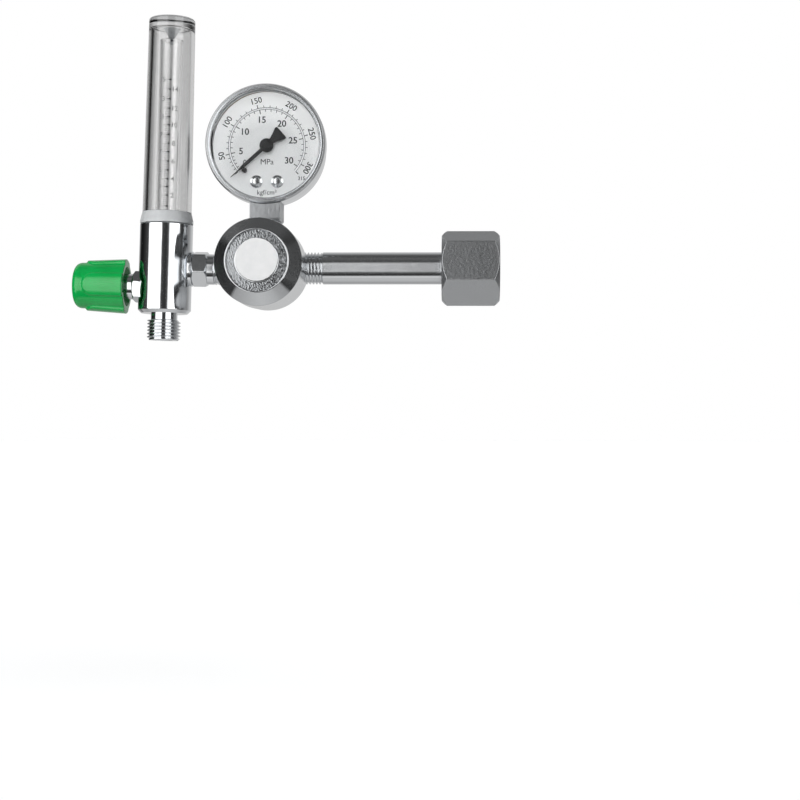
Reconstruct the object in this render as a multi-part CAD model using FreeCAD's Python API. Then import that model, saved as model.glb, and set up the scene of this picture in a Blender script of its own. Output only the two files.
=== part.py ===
import FreeCAD, Part
import math
import os
from FreeCAD import Placement, Rotation, Vector

# Oxygen regulator with a cylinder-pressure gauge and a tube flowmeter, in millimetres.
# The origin is the end of the straight wall of the inlet nose. +X leaves the nose
# towards the cylinder valve, +Z is up and -Y is the front, where the gauge is read.

# Inlet: a nipple with a long stem, and the union nut that turns on it
nose_dia = 12.2
nose_length = 11.3
nose_dome = 2.6
nose_tip_dia = 8.4
shoulder_dia = 19.6
shoulder_thickness = 4.0
stem_dia = 13.7
stem_bore_dia = 5.0
stem_thread_depth = 10.8
stem_end_chamfer = 0.8
nut_flats = 28.575
nut_length = 24.6
nut_back_wall = 5.0
nut_thread_dia = 22.2
nut_mouth_chamfer = 0.9
nut_corner_chamfer_deg = 46.0
nut_turn_deg = 38.6
nut_end_play = 0.3
nut_running_gap = 0.1
filter_dia = 7.0
filter_length = 5.0
filter_depth = 1.4
filter_ring_wall = 0.7
filter_ring_thickness = 0.8

# Regulator body and bonnet, turned about a front-to-back axis
body_reach = 95.7
body_dia = 35.0
body_front = 9.0
body_back = 8.5
body_back_chamfer = 1.0
spigot_dia = 32.4
spigot_length = 6.0
bonnet_dia = 36.5
bonnet_rim_front = 30.3
bonnet_face_front = 34.6
bonnet_face_dia = 28.0
bonnet_rim_round = 0.8
cast_ring_dia = 25.4
cast_ring_depth = 0.5
bead_width = 0.6
bead_height = 0.4
spring_chamber_front = 29.5
plug_dia = 18.4
plug_seat_depth = 1.7
plug_proud = 0.6
plug_edge_round = 0.3
label_dia = 17.8
label_thickness = 0.2
preset_screw_dia = 8.0
preset_screw_gap = 0.5
preset_key_flats = 4.0
preset_key_depth = 2.2

# Diaphragm, spring and valve inside the regulator
diaphragm_thickness = 0.8
diaphragm_clearance = 0.2
slip_ring_thickness = 1.2
slip_ring_width = 3.0
plate_wall_gap = 4.2
plate_thickness = 1.5
plate_boss_dia = 10.0
plate_boss_height = 1.8
button_dia = 18.6
button_thickness = 1.5
main_spring_mean_dia = 14.6
main_spring_wire = 2.4
main_spring_turns = 3.0
diaphragm_recess_dia = 26.0
diaphragm_recess_depth = 2.0
nozzle_dia = 9.0
nozzle_length = 7.0
nozzle_bore_dia = 2.8
nozzle_lip_dia = 4.0
nozzle_lip_height = 0.4
valve_chamber_dia = 6.8
valve_chamber_back = 4.0
poppet_lift = 0.5
poppet_dia = 5.2
poppet_head_length = 2.5
poppet_stem_dia = 1.6
poppet_guide_dia = 2.4
poppet_guide_length = 1.4
poppet_spring_mean_dia = 3.8
poppet_spring_wire = 0.5
poppet_spring_turns = 4.0
inlet_port_dia = 5.0
gauge_port_dia = 3.0
outlet_port_dia = 3.2
outlet_drop_dia = 2.8
outlet_drop_radius = 8.7

# Gauge: case, bezel, window and dial, centred above the regulator body
gauge_height = 52.6
gauge_case_wall = 0.8
gauge_case_back = 17.0
gauge_case_corner = 2.4
bezel_dia = 51.3
bezel_front = 8.0
bezel_back = 1.0
bezel_lip_width = 2.9
bezel_wall = 1.35
bezel_lip = 1.4
bezel_outer_round = 1.3
bezel_inner_round = 0.6
lens_thickness = 2.0
gasket_thickness = 0.7
gasket_width = 1.5
dial_gap = 0.3
dial_thickness = 0.6
dial_hole_dia = 3.2
dial_screw_spread = 9.0
dial_screw_rim_gap = 7.9
dial_screw_head_dia = 5.3
dial_screw_head_height = 1.3
dial_screw_dia = 2.0
dial_screw_length = 1.8
pointer_rim_gap = 2.7
pointer_tip_width = 0.35
pointer_root_width = 1.7
pointer_tail_length = 8.6
pointer_tail_width = 6.4
pointer_thickness = 0.4
pointer_hub_dia = 6.0
pointer_hub_thickness = 1.1
pointer_above_dial = 1.4
pointer_zero_deg = 131.5
stop_pin_radius_at = 14.2
stop_pin_dia = 2.2
stop_pin_foot_dia = 1.2
stop_pin_gap = 0.06

# Gauge socket: the neck block and the lugs that carry the movement
neck_width = 13.1
neck_front = 6.6
neck_back = 8.0
neck_bottom = 19.8
neck_corner = 1.4
neck_thread_dia = 13.2
neck_thread_depth = 9.0
neck_port_dia = 2.4
socket_front = 1.2
lug_height = 6.8
ledge_height = 4.9
ledge_thickness = 1.3
riser_height = 4.6
riser_inner = 2.7
bezel_to_neck_gap = 0.1
socket_cross_port_dia = 1.4

# Gauge movement: Bourdon tube, link, toothed sector and pinion
movement_front = 2.8
movement_back = 8.0
movement_plate_thickness = 0.8
movement_plate_edge = 2.0
pillar_spread = 19.0
pillar_drop = 1.5
pillar_dia = 2.2
pillar_end_dia = 1.2
plate_screw_spread = 8.4
plate_screw_wall_gap = 3.0
plate_screw_dia = 1.8
plate_screw_head_dia = 3.2
plate_screw_head_height = 0.9
plate_screw_length = 3.4
gear_module = 0.25
pinion_teeth = 12
sector_full_teeth = 84
sector_addendum_share = 0.68
pinion_addendum_share = 1.0
tooth_root_clearance = 0.06
gear_backlash = 0.04
pressure_angle_deg = 20.0
pointer_sweep_deg = 263.2
sector_spare_teeth = 1
sector_start = 4.3
sector_thickness = 0.8
sector_hub_dia = 3.0
sector_rim_width = 1.2
pinion_extra_width = 0.3
arbor_dia = 1.2
pivot_dia = 0.8
pivot_gap = 0.03
tail_length = 4.0
tail_angle_deg = -35.0
tail_width = 2.0
link_pin_dia = 1.0
link_pin_height = 1.1
link_gap = 0.2
link_thickness = 0.5
link_width = 2.6
link_slot_spare = 0.3
link_fork_reach = 0.4
bourdon_wall_gap = 7.5
bourdon_width = 4.6
bourdon_thickness = 2.4
bourdon_wall = 0.5
bourdon_middle = 5.3
bourdon_start_deg = -108.0
bourdon_sweep_deg = 290.0
tip_plug_deg = 3.0
tip_lug_deg = 12.0
tip_pin_deg = 9.0
hairspring_start = 6.3
hairspring_width = 0.6
hairspring_strip = 0.14
hairspring_inner_dia = 1.6
hairspring_outer_dia = 6.6
hairspring_turns = 3.0
hairspring_stud_dia = 1.0

# Flowmeter: the group stands a little out of upright, turned on its thread seat
flowmeter_lean_deg = 1.3
flow_body_dia = 22.6
flow_body_top = 19.0
flow_body_bottom = 19.4
flow_body_bottom_chamfer = 1.4
flow_body_top_chamfer = 0.5
outer_tube_flange_dia = 22.6
outer_tube_flange = 1.5
outer_tube_collar_top = 24.0
outer_tube_base_dia = 20.9
outer_tube_top_dia = 19.7
outer_tube_top = 107.3
outer_tube_top_round = 2.2
outer_tube_wall = 2.0
outer_tube_end_wall = 4.0
outer_tube_skirt_dia = 18.6
outer_tube_skirt = 6.0
tube_well_dia = 18.6
inner_tube_dia = 10.0
inner_tube_foot = 9.6
inner_tube_top = 98.0
inner_tube_bottom_bore_dia = 6.3
inner_tube_top_bore_dia = 8.0
ball_dia = 6.0
ball_rest = 14.6
float_travel = 78.0
seat_height = 1.8
seat_bore_dia = 3.0
stop_cone_dia = 7.6
stop_cone_tip_dia = 1.8
stop_cone_length = 4.6
stop_wire_dia = 1.2
stop_ball_gap = 0.5
seal_thickness = 1.0
o_ring_section = 1.6
o_ring_squeeze_gap = 0.02
feed_dia = 4.0
return_radius = 7.2
return_dia = 2.2

# Outlet under the flowmeter: 9/16 inch oxygen thread, drawn at its outside diameter
outlet_neck_dia = 11.3
outlet_neck_length = 3.0
outlet_thread_dia = 14.288
outlet_thread_length = 8.4
outlet_thread_chamfer = 0.8
outlet_spigot_dia = 9.6
outlet_spigot_length = 6.0
outlet_bore_dia = 6.6
outlet_bore_length = 12.0
outlet_mouth_chamfer = 0.6
outlet_passage_dia = 4.2

# Union between the regulator body and the flowmeter
union_face = 10.3
washer_dia = 15.0
washer_thickness = 1.7
union_hex_flats = 14.0
union_hex_length = 6.6
union_neck_dia = 13.0
union_neck_length = 3.0
union_thread_dia = 13.2
union_thread_shown = 4.4
union_thread_depth = 7.0
union_spigot_dia = 9.6
union_spigot_length = 4.0
union_bore_dia = 3.6
union_hex_turn_deg = 43.0

# Flow valve and its knob, on the side away from the regulator
knob_drop = 8.1
gland_face = 8.8
gland_flats = 12.0
gland_hex_end = 13.4
gland_round_dia = 11.0
gland_round_end = 17.6
gland_spigot_dia = 10.0
gland_spigot_length = 2.8
gland_bore_dia = 5.0
gland_turn_deg = 46.0
packing_dia = 8.0
packing_depth = 1.4
valve_well_dia = 10.0
valve_well_floor = 5.4
valve_orifice_dia = 2.4
spindle_dia = 4.9
spindle_tip_dia = 1.2
spindle_tip_length = 2.6
spindle_end = 34.0
spindle_running_gap = 0.05
knob_rim = 16.4
knob_end = 38.7
knob_base_dia = 19.4
knob_rim_dia = 20.8
knob_end_round = 3.2
knob_wall = 2.0
knob_end_wall = 2.4
knob_boss_dia = 9.6
knob_boss_start = 22.0
knob_pad_end_dia = 21.5
knob_pad_rim_dia = 23.4
knob_pad_width = 9.4
knob_pad_tip = 33.8
knob_pad_count = 4
insert_dia = 7.2

# Axes and places worked out from the sizes above
shoulder_back = nose_length + shoulder_thickness
nut_inner_face = shoulder_back + nut_end_play
nut_back = nut_inner_face + nut_back_wall
nut_mouth = nut_length - nut_back
stem_end = body_reach - body_dia / 2 + stem_thread_depth
body_axis = Vector(-body_reach, 0, 0)
spigot_front = body_front + spigot_length
diaphragm_front = spigot_front + diaphragm_thickness
slip_ring_front = diaphragm_front + slip_ring_thickness
spring_chamber_dia = spigot_dia - 2 * slip_ring_width
plate_dia = spring_chamber_dia - 2 * plate_wall_gap
plate_front = diaphragm_front + plate_thickness
plug_seat = bonnet_face_front - plug_seat_depth
plug_front = bonnet_face_front + plug_proud
preset_screw_front = plug_seat - preset_screw_gap
button_front = spring_chamber_front - preset_screw_gap
button_back = button_front - button_thickness
recess_floor = spigot_front - diaphragm_recess_depth
nozzle_back = recess_floor - nozzle_length
poppet_front = nozzle_back - nozzle_lip_height - poppet_lift
poppet_back = poppet_front - poppet_head_length
gauge_case_dia = bezel_dia - 2 * bezel_wall
bezel_opening_dia = bezel_dia - 2 * bezel_lip_width
case_bore_radius = gauge_case_dia / 2 - gauge_case_wall
dial_dia = 2 * (case_bore_radius - dial_gap)
dial_screw_drop = dial_dia / 2 - dial_screw_rim_gap
pointer_length = dial_dia / 2 - pointer_rim_gap
case_front = bezel_front - bezel_lip - lens_thickness - gasket_thickness
gauge_axis = Vector(-body_reach, 0, gauge_height)
neck_middle = (neck_back - neck_front) / 2
socket_top_drop = gauge_case_dia / 2 - lug_height
ledge_top_drop = socket_top_drop - ledge_height
riser_top_drop = socket_top_drop - riser_height
plate_screw_drop = case_bore_radius - plate_screw_wall_gap
bourdon_radius = case_bore_radius - bourdon_wall_gap
dial_front = socket_front - dial_thickness
pointer_back = dial_front - pointer_above_dial
pinion_pitch_radius = gear_module * pinion_teeth / 2
sector_pitch_radius = gear_module * sector_full_teeth / 2
gear_distance = pinion_pitch_radius + sector_pitch_radius
sector_swing_deg = pointer_sweep_deg * pinion_teeth / sector_full_teeth
link_start = sector_start + sector_thickness + link_gap
ball_top = ball_rest + float_travel + ball_dia / 2
outer_tube_ceiling = outer_tube_top - outer_tube_end_wall
well_floor = flow_body_top - outer_tube_skirt - o_ring_section
lean = Rotation(Vector(0, 1, 0), flowmeter_lean_deg)
union_length = union_face + washer_thickness + union_hex_length + union_neck_length + union_thread_shown
flowmeter_reach = body_reach + body_dia / 2 + union_length
flow_origin = Vector(-flowmeter_reach, 0, 0)
washer_end = union_face + washer_thickness
union_hex_end = washer_end + union_hex_length
union_end = flowmeter_reach - body_reach - body_dia / 2 + union_thread_depth

AHEAD = Vector(0, -1, 0)
RIGHT = Vector(1, 0, 0)
LEFT = Vector(-1, 0, 0)
UP = Vector(0, 0, 1)
DOWN = Vector(0, 0, -1)


# Outlines and turned shapes

def outline(points):
    """Closed wire in the XZ plane. A third value rounds that corner with a tangent arc."""
    count = len(points)
    corners = []
    for index, point in enumerate(points):
        here = Vector(point[0], 0, point[1])
        if len(point) == 2:
            corners.append((here, None, here))
            continue
        before = Vector(points[index - 1][0], 0, points[index - 1][1])
        after = Vector(points[(index + 1) % count][0], 0, points[(index + 1) % count][1])
        back = (before - here).normalize()
        on = (after - here).normalize()
        half = back.getAngle(on) / 2
        setback = point[2] / math.tan(half)
        middle = (back + on).normalize()
        nearest = here + middle * (point[2] / math.sin(half) - point[2])
        corners.append((here + back * setback, nearest, here + on * setback))
    edges = []
    for index, (start, nearest, end) in enumerate(corners):
        if nearest is not None:
            edges.append(Part.Arc(start, nearest, end).toShape())
        following = corners[(index + 1) % count][0]
        if (following - end).Length > 1e-6:
            edges.append(Part.makeLine(end, following))
    return Part.Wire(edges)


def aimed(shape, origin, axis, turn_deg=0):
    """The shape with its own Z laid along the axis from the origin."""
    placed = shape.copy()
    spin = Placement(Vector(0, 0, 0), Rotation(UP, turn_deg))
    placed.Placement = Placement(origin, Rotation(UP, axis)).multiply(spin).multiply(placed.Placement)
    return placed


def turned(points, origin, axis):
    """Solid of revolution from (radius, station) points, stations counted along the axis."""
    face = Part.Face(outline(points))
    return aimed(face.revolve(Vector(0, 0, 0), UP, 360), origin, axis)


def rod(dia, start, end, origin, axis):
    """Plain cylinder between two stations of an axis."""
    low = min(start, end)
    return aimed(Part.makeCylinder(dia / 2, abs(end - start), Vector(0, 0, low)), origin, axis)


def ring(outer_dia, inner_dia, start, end, origin, axis):
    """Plain ring between two stations of an axis."""
    return rod(outer_dia, start, end, origin, axis).cut(rod(inner_dia, start, end, origin, axis))


def hexagon(flats, start, end, origin, axis, turn_deg, chamfered=(True, True), chamfer_deg=30):
    """Hexagon bar with its corners turned off at the chamfered ends."""
    corner = flats / math.sqrt(3)
    cut = corner - flats / 2
    slope = cut * math.tan(math.radians(chamfer_deg))
    points = [Vector(corner * math.cos(math.radians(60 * k)), corner * math.sin(math.radians(60 * k)), start)
              for k in range(7)]
    bar = Part.Face(Part.makePolygon(points)).extrude(Vector(0, 0, end - start))
    bar = aimed(bar, origin, axis, turn_deg)
    low = flats / 2 if chamfered[0] else corner + 1
    high = flats / 2 if chamfered[1] else corner + 1
    envelope = [(0, start), (low, start)]
    if chamfered[0]:
        envelope.append((corner + 0.001, start + slope))
    if chamfered[1]:
        envelope.append((corner + 0.001, end - slope))
    envelope += [(high, end), (0, end)]
    return bar.common(turned(envelope, origin, axis))


def coil(mean_dia, wire, start, end, turns, origin, axis):
    """Compression spring whose wire stays inside the two stations."""
    height = end - start - wire
    path = Part.makeHelix(height / turns, height, mean_dia / 2)
    section = Part.Wire(Part.makeCircle(wire / 2, Vector(mean_dia / 2, 0, 0), Vector(0, 1, 0)))
    spring = Part.Wire(path).makePipeShell([section], True, True)
    spring.translate(Vector(0, 0, start + wire / 2))
    return aimed(spring, origin, axis)


def hull_of_circles(centres, radius, depth):
    """Plate whose edge runs round equal circles, from y 0 to the depth. Centres go anticlockwise."""
    edges = []
    count = len(centres)
    for index in range(count):
        before = Vector(centres[index - 1][0], 0, centres[index - 1][1])
        here = Vector(centres[index][0], 0, centres[index][1])
        after = Vector(centres[(index + 1) % count][0], 0, centres[(index + 1) % count][1])
        into = (here - before).normalize()
        out = (after - here).normalize()
        start = here + Vector(into.z, 0, -into.x) * radius
        end = here + Vector(out.z, 0, -out.x) * radius
        middle = (into - out).normalize()
        edges.append(Part.Arc(start, here + middle * radius, end).toShape())
        next_start = after + Vector(out.z, 0, -out.x) * radius
        edges.append(Part.makeLine(end, next_start))
    return Part.Face(Part.Wire(edges)).extrude(Vector(0, depth, 0))


def on_gauge(shape, depth=0):
    """Moves a shape drawn about the gauge axis in the XZ plane to the gauge."""
    moved = shape.copy()
    moved.translate(gauge_axis + Vector(0, depth, 0))
    return moved


def on_flowmeter(shape):
    """Moves a shape drawn about the upright flowmeter axis to its leaning place."""
    moved = shape.copy()
    moved.Placement = Placement(flow_origin, lean).multiply(moved.Placement)
    return moved


# Inlet pieces

def inlet_nut():
    """Union nut: turned corners at both ends, a blind thread bore and a hole for the stem."""
    nut = hexagon(nut_flats, -nut_back, nut_mouth, Vector(), RIGHT, -90 - nut_turn_deg, (True, True),
                  nut_corner_chamfer_deg)
    bore = [(0, -nut_inner_face), (nut_thread_dia / 2, -nut_inner_face),
            (nut_thread_dia / 2, nut_mouth - nut_mouth_chamfer),
            (nut_thread_dia / 2 + nut_mouth_chamfer, nut_mouth), (0, nut_mouth)]
    hole_dia = stem_dia + 2 * nut_running_gap
    return nut.cut(turned(bore, Vector(), RIGHT)).cut(rod(hole_dia, -nut_back, 0, Vector(), RIGHT))


def inlet_stem():
    """Nipple and stem in one turned piece: domed nose, sealing shoulder, straight stem."""
    dome = [(0, -stem_end), (stem_dia / 2 - stem_end_chamfer, -stem_end),
            (stem_dia / 2, stem_end_chamfer - stem_end), (stem_dia / 2, -shoulder_back),
            (shoulder_dia / 2, -shoulder_back, 0.4), (shoulder_dia / 2, -nose_length, 0.8),
            (nose_dia / 2, -nose_length), (nose_dia / 2, 0), (nose_tip_dia / 2, nose_dome, 1.0),
            (0, nose_dome)]
    stem = turned(dome, Vector(), RIGHT)
    stem = stem.cut(rod(stem_bore_dia, -stem_end, nose_dome, Vector(), RIGHT))
    return stem.cut(rod(filter_dia, nose_dome - filter_depth - filter_length, nose_dome, Vector(), RIGHT))


def inlet_filter():
    """Sintered filter plug, rounded at its outer end, in the recess of the nose."""
    end = nose_dome - filter_depth
    body = [(0, end - filter_length), (filter_dia / 2, end - filter_length), (filter_dia / 2, end, 0.8),
            (0, end)]
    return turned(body, Vector(), RIGHT)


def filter_ring():
    """Snap ring that holds the filter."""
    start = nose_dome - filter_depth
    return ring(filter_dia, filter_dia - 2 * filter_ring_wall, start, start + filter_ring_thickness,
                Vector(), RIGHT)


# Regulator pieces, with stations counted forwards from the stem's plane

def union_recess():
    """Room that the union's thread takes in the regulator body, leaning with the flowmeter."""
    return on_flowmeter(rod(union_thread_dia, union_hex_end, union_end, Vector(), RIGHT))


def regulator_body():
    """Turned body with a threaded spigot for the bonnet, and its three ports."""
    profile = [(0, -body_back), (body_dia / 2 - body_back_chamfer, -body_back),
               (body_dia / 2, body_back_chamfer - body_back), (body_dia / 2, body_front),
               (spigot_dia / 2, body_front), (spigot_dia / 2, spigot_front), (0, spigot_front)]
    body = turned(profile, body_axis, AHEAD)
    bores = [(0, -valve_chamber_back), (valve_chamber_dia / 2, -valve_chamber_back),
             (valve_chamber_dia / 2, nozzle_back), (nozzle_dia / 2, nozzle_back),
             (nozzle_dia / 2, recess_floor), (diaphragm_recess_dia / 2, recess_floor),
             (diaphragm_recess_dia / 2, spigot_front), (0, spigot_front)]
    body = body.cut(turned(bores, body_axis, AHEAD))
    body = body.cut(rod(stem_dia, -stem_end, 0, Vector(), RIGHT))
    body = body.cut(rod(inlet_port_dia, 0, stem_end - body_reach, body_axis, LEFT))
    neck_axis = body_axis + Vector(0, neck_middle, 0)
    body = body.cut(rod(neck_thread_dia, neck_bottom - neck_thread_depth, body_dia, neck_axis, UP))
    body = body.cut(rod(gauge_port_dia, 0, body_dia / 2, neck_axis, UP))
    body = body.cut(union_recess())
    drop = rod(outlet_drop_dia, 0, recess_floor, body_axis - Vector(outlet_drop_radius, 0, 0), AHEAD)
    side = rod(outlet_port_dia, outlet_drop_radius, body_dia / 2 - union_thread_depth / 2, body_axis, LEFT)
    return body.cut(drop).cut(side)


def bonnet():
    """Spring housing: a turned cap with a coned front, a bead and a sunk cast ring."""
    profile = [(spigot_dia / 2, body_front), (bonnet_dia / 2, body_front),
               (bonnet_dia / 2, bonnet_rim_front, bonnet_rim_round),
               (bonnet_face_dia / 2, bonnet_face_front, 0.5),
               (cast_ring_dia / 2 + bead_width, bonnet_face_front),
               (cast_ring_dia / 2 + bead_width, bonnet_face_front + bead_height, 0.25),
               (cast_ring_dia / 2, bonnet_face_front + bead_height, 0.25),
               (cast_ring_dia / 2, bonnet_face_front - cast_ring_depth),
               (plug_dia / 2, bonnet_face_front - cast_ring_depth), (plug_dia / 2, plug_seat),
               (preset_screw_dia / 2, plug_seat), (preset_screw_dia / 2, spring_chamber_front),
               (spring_chamber_dia / 2, spring_chamber_front, 2.0),
               (spring_chamber_dia / 2, slip_ring_front), (spigot_dia / 2, slip_ring_front)]
    return turned(profile, body_axis, AHEAD)


def seal_plug():
    """Plug pressed over the preset screw."""
    profile = [(0, plug_seat), (plug_dia / 2, plug_seat), (plug_dia / 2, plug_front, plug_edge_round),
               (0, plug_front)]
    return turned(profile, body_axis, AHEAD)


def label_disc():
    """Thin round label on the plug."""
    return rod(label_dia, plug_front, plug_front + label_thickness, body_axis, AHEAD)


def preset_screw():
    """Headless screw that loads the main spring, with a hexagon socket at its front end."""
    screw = rod(preset_screw_dia, button_front, preset_screw_front, body_axis, AHEAD)
    key = hexagon(preset_key_flats, preset_screw_front - preset_key_depth, preset_screw_front, body_axis,
                  AHEAD, 0, (False, False))
    return screw.cut(key)


def spring_button():
    """Disc between the preset screw and the main spring, with a centring boss."""
    profile = [(0, button_back - plate_boss_height), (plate_boss_dia / 2, button_back - plate_boss_height),
               (plate_boss_dia / 2, button_back), (button_dia / 2, button_back, 0.3),
               (button_dia / 2, button_front, 0.3), (0, button_front)]
    return turned(profile, body_axis, AHEAD)


def main_spring():
    """Range spring between the diaphragm plate and the button."""
    return coil(main_spring_mean_dia, main_spring_wire, plate_front, button_back, main_spring_turns,
                body_axis, AHEAD)


def diaphragm_plate():
    """Plate that carries the spring's load onto the diaphragm."""
    profile = [(0, diaphragm_front), (plate_dia / 2, diaphragm_front, 0.5), (plate_dia / 2, plate_front, 0.3),
               (plate_boss_dia / 2, plate_front), (plate_boss_dia / 2, plate_front + plate_boss_height, 0.4),
               (0, plate_front + plate_boss_height)]
    return turned(profile, body_axis, AHEAD)


def slip_ring():
    """Washer that lets the bonnet tighten without twisting the diaphragm."""
    return ring(spigot_dia - 2 * diaphragm_clearance, spring_chamber_dia, diaphragm_front, slip_ring_front,
                body_axis, AHEAD)


def diaphragm():
    """Rubbered diaphragm clamped between the spigot and the slip ring."""
    return rod(spigot_dia - 2 * diaphragm_clearance, spigot_front, diaphragm_front, body_axis, AHEAD)


def valve_nozzle():
    """Screwed-in nozzle with the seat lip on its high-pressure side."""
    lip = nozzle_back - nozzle_lip_height
    profile = [(nozzle_bore_dia / 2, lip), (nozzle_lip_dia / 2, lip), (nozzle_dia / 2 - 1.2, nozzle_back),
               (nozzle_dia / 2, nozzle_back), (nozzle_dia / 2, recess_floor),
               (nozzle_bore_dia / 2, recess_floor)]
    return turned(profile, body_axis, AHEAD)


def poppet():
    """Valve head with a push rod to the diaphragm and a guide for its spring."""
    profile = [(0, poppet_back - poppet_guide_length), (poppet_guide_dia / 2, poppet_back - poppet_guide_length),
               (poppet_guide_dia / 2, poppet_back), (poppet_dia / 2, poppet_back),
               (poppet_dia / 2, poppet_front, 0.3), (poppet_stem_dia / 2, poppet_front),
               (poppet_stem_dia / 2, spigot_front), (0, spigot_front)]
    return turned(profile, body_axis, AHEAD)


def poppet_spring():
    """Light spring that closes the poppet."""
    return coil(poppet_spring_mean_dia, poppet_spring_wire, -valve_chamber_back, poppet_back,
                poppet_spring_turns, body_axis, AHEAD)


# Gauge pieces, with stations counted forwards from the stem's plane

def gauge_case():
    """Pressed cup with a rounded back edge and a slot for the socket."""
    outer = gauge_case_dia / 2
    inner = outer - gauge_case_wall
    back = -gauge_case_back
    profile = [(0, back), (outer, back, gauge_case_corner), (outer, case_front), (inner, case_front),
               (inner, back + gauge_case_wall, gauge_case_corner - gauge_case_wall),
               (0, back + gauge_case_wall)]
    slot = Part.makeBox(neck_width, neck_back - socket_front, gauge_case_dia / 2,
                        Vector(-neck_width / 2, socket_front, -gauge_case_dia))
    slot.translate(Vector(0, 0, gauge_case_dia / 2 - socket_top_drop))
    return turned(profile, gauge_axis, AHEAD).cut(on_gauge(slot))


def gauge_bezel():
    """Snap-on bezel ring with a rounded lip in front of the window."""
    case = gauge_case_dia / 2
    lip = bezel_opening_dia / 2
    profile = [(case, -bezel_back), (bezel_dia / 2, -bezel_back),
               (bezel_dia / 2, bezel_front, bezel_outer_round), (lip, bezel_front, bezel_inner_round),
               (lip, bezel_front - bezel_lip), (case, bezel_front - bezel_lip)]
    return turned(profile, gauge_axis, AHEAD)


def gauge_lens():
    """Clear window behind the bezel's lip."""
    back = bezel_front - bezel_lip - lens_thickness
    return rod(gauge_case_dia, back, back + lens_thickness, gauge_axis, AHEAD)


def lens_gasket():
    """Rubber ring between the case's edge and the window."""
    return ring(gauge_case_dia, gauge_case_dia - 2 * gasket_width, case_front, case_front + gasket_thickness,
                gauge_axis, AHEAD)


def dial_screw_places():
    """The two screw axes under the dial's centre, in gauge coordinates."""
    return [Vector(side * dial_screw_spread / 2, 0, -dial_screw_drop) for side in (-1, 1)]


def stop_pin_place():
    """Where the stop pin stands, just clear of the pointer's edge at zero."""
    share = stop_pin_radius_at / pointer_length
    half_width = (pointer_root_width + (pointer_tip_width - pointer_root_width) * share) / 2
    offset = stop_pin_dia / 2 + half_width + stop_pin_gap
    angle = math.radians(pointer_zero_deg) + math.asin(offset / stop_pin_radius_at)
    return Vector(-stop_pin_radius_at * math.sin(angle), 0, stop_pin_radius_at * math.cos(angle))


def gauge_dial():
    """Dial plate on the socket's front ledge, with holes for the arbor, screws and stop pin."""
    dial = rod(dial_dia, -socket_front, -dial_front, gauge_axis, AHEAD)
    dial = dial.cut(rod(dial_hole_dia, -socket_front, -dial_front, gauge_axis, AHEAD))
    for place in dial_screw_places():
        dial = dial.cut(rod(dial_screw_dia, -socket_front, -dial_front, gauge_axis + place, AHEAD))
    return dial.cut(rod(stop_pin_foot_dia, -socket_front, -dial_front, gauge_axis + stop_pin_place(), AHEAD))


def dial_screws():
    """Two domed screws that hold the dial."""
    head = dial_screw_head_dia / 2
    height = dial_screw_head_height
    sphere = (head ** 2 + height ** 2) / (2 * height)
    screws = []
    for place in dial_screw_places():
        cap = Part.makeSphere(sphere, Vector(0, 0, height - sphere))
        cap = cap.common(Part.makeCylinder(head + 1, height))
        shank = Part.makeCylinder(dial_screw_dia / 2, dial_screw_length, Vector(0, 0, -dial_screw_length))
        slot = Part.makeBox(dial_screw_head_dia, 0.6, 0.5, Vector(-head, -0.3, height - 0.5))
        seat = gauge_axis + place + Vector(0, dial_front, 0)
        screws.append(aimed(cap.fuse(shank).cut(slot), seat, AHEAD))
    return Part.makeCompound(screws)


def stop_pin():
    """Pin riveted in the dial, where the pointer rests at zero."""
    place = gauge_axis + stop_pin_place()
    top = -pointer_back + pointer_thickness + 0.3
    pin = rod(stop_pin_dia, -dial_front, top, place, AHEAD)
    return pin.fuse(rod(stop_pin_foot_dia, -socket_front, -dial_front, place, AHEAD))


def gauge_pointer():
    """Tapered pointer with a flared tail, on a turned hub."""
    half_tip = pointer_tip_width / 2
    half_root = pointer_root_width / 2
    half_tail = pointer_tail_width / 2
    blade = outline([(-half_tip, pointer_length), (-half_root, 0), (-half_tail, -pointer_tail_length),
                     (half_tail, -pointer_tail_length), (half_root, 0), (half_tip, pointer_length)])
    blade = Part.Face(blade).extrude(Vector(0, -pointer_thickness, 0))
    hub = rod(pointer_hub_dia, 0, pointer_hub_thickness, Vector(), AHEAD)
    pointer = blade.fuse(hub).cut(rod(pivot_dia, -1, pointer_hub_thickness + 1, Vector(), AHEAD))
    pointer.rotate(Vector(), Vector(0, 1, 0), -pointer_zero_deg)
    return on_gauge(pointer, pointer_back)


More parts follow.
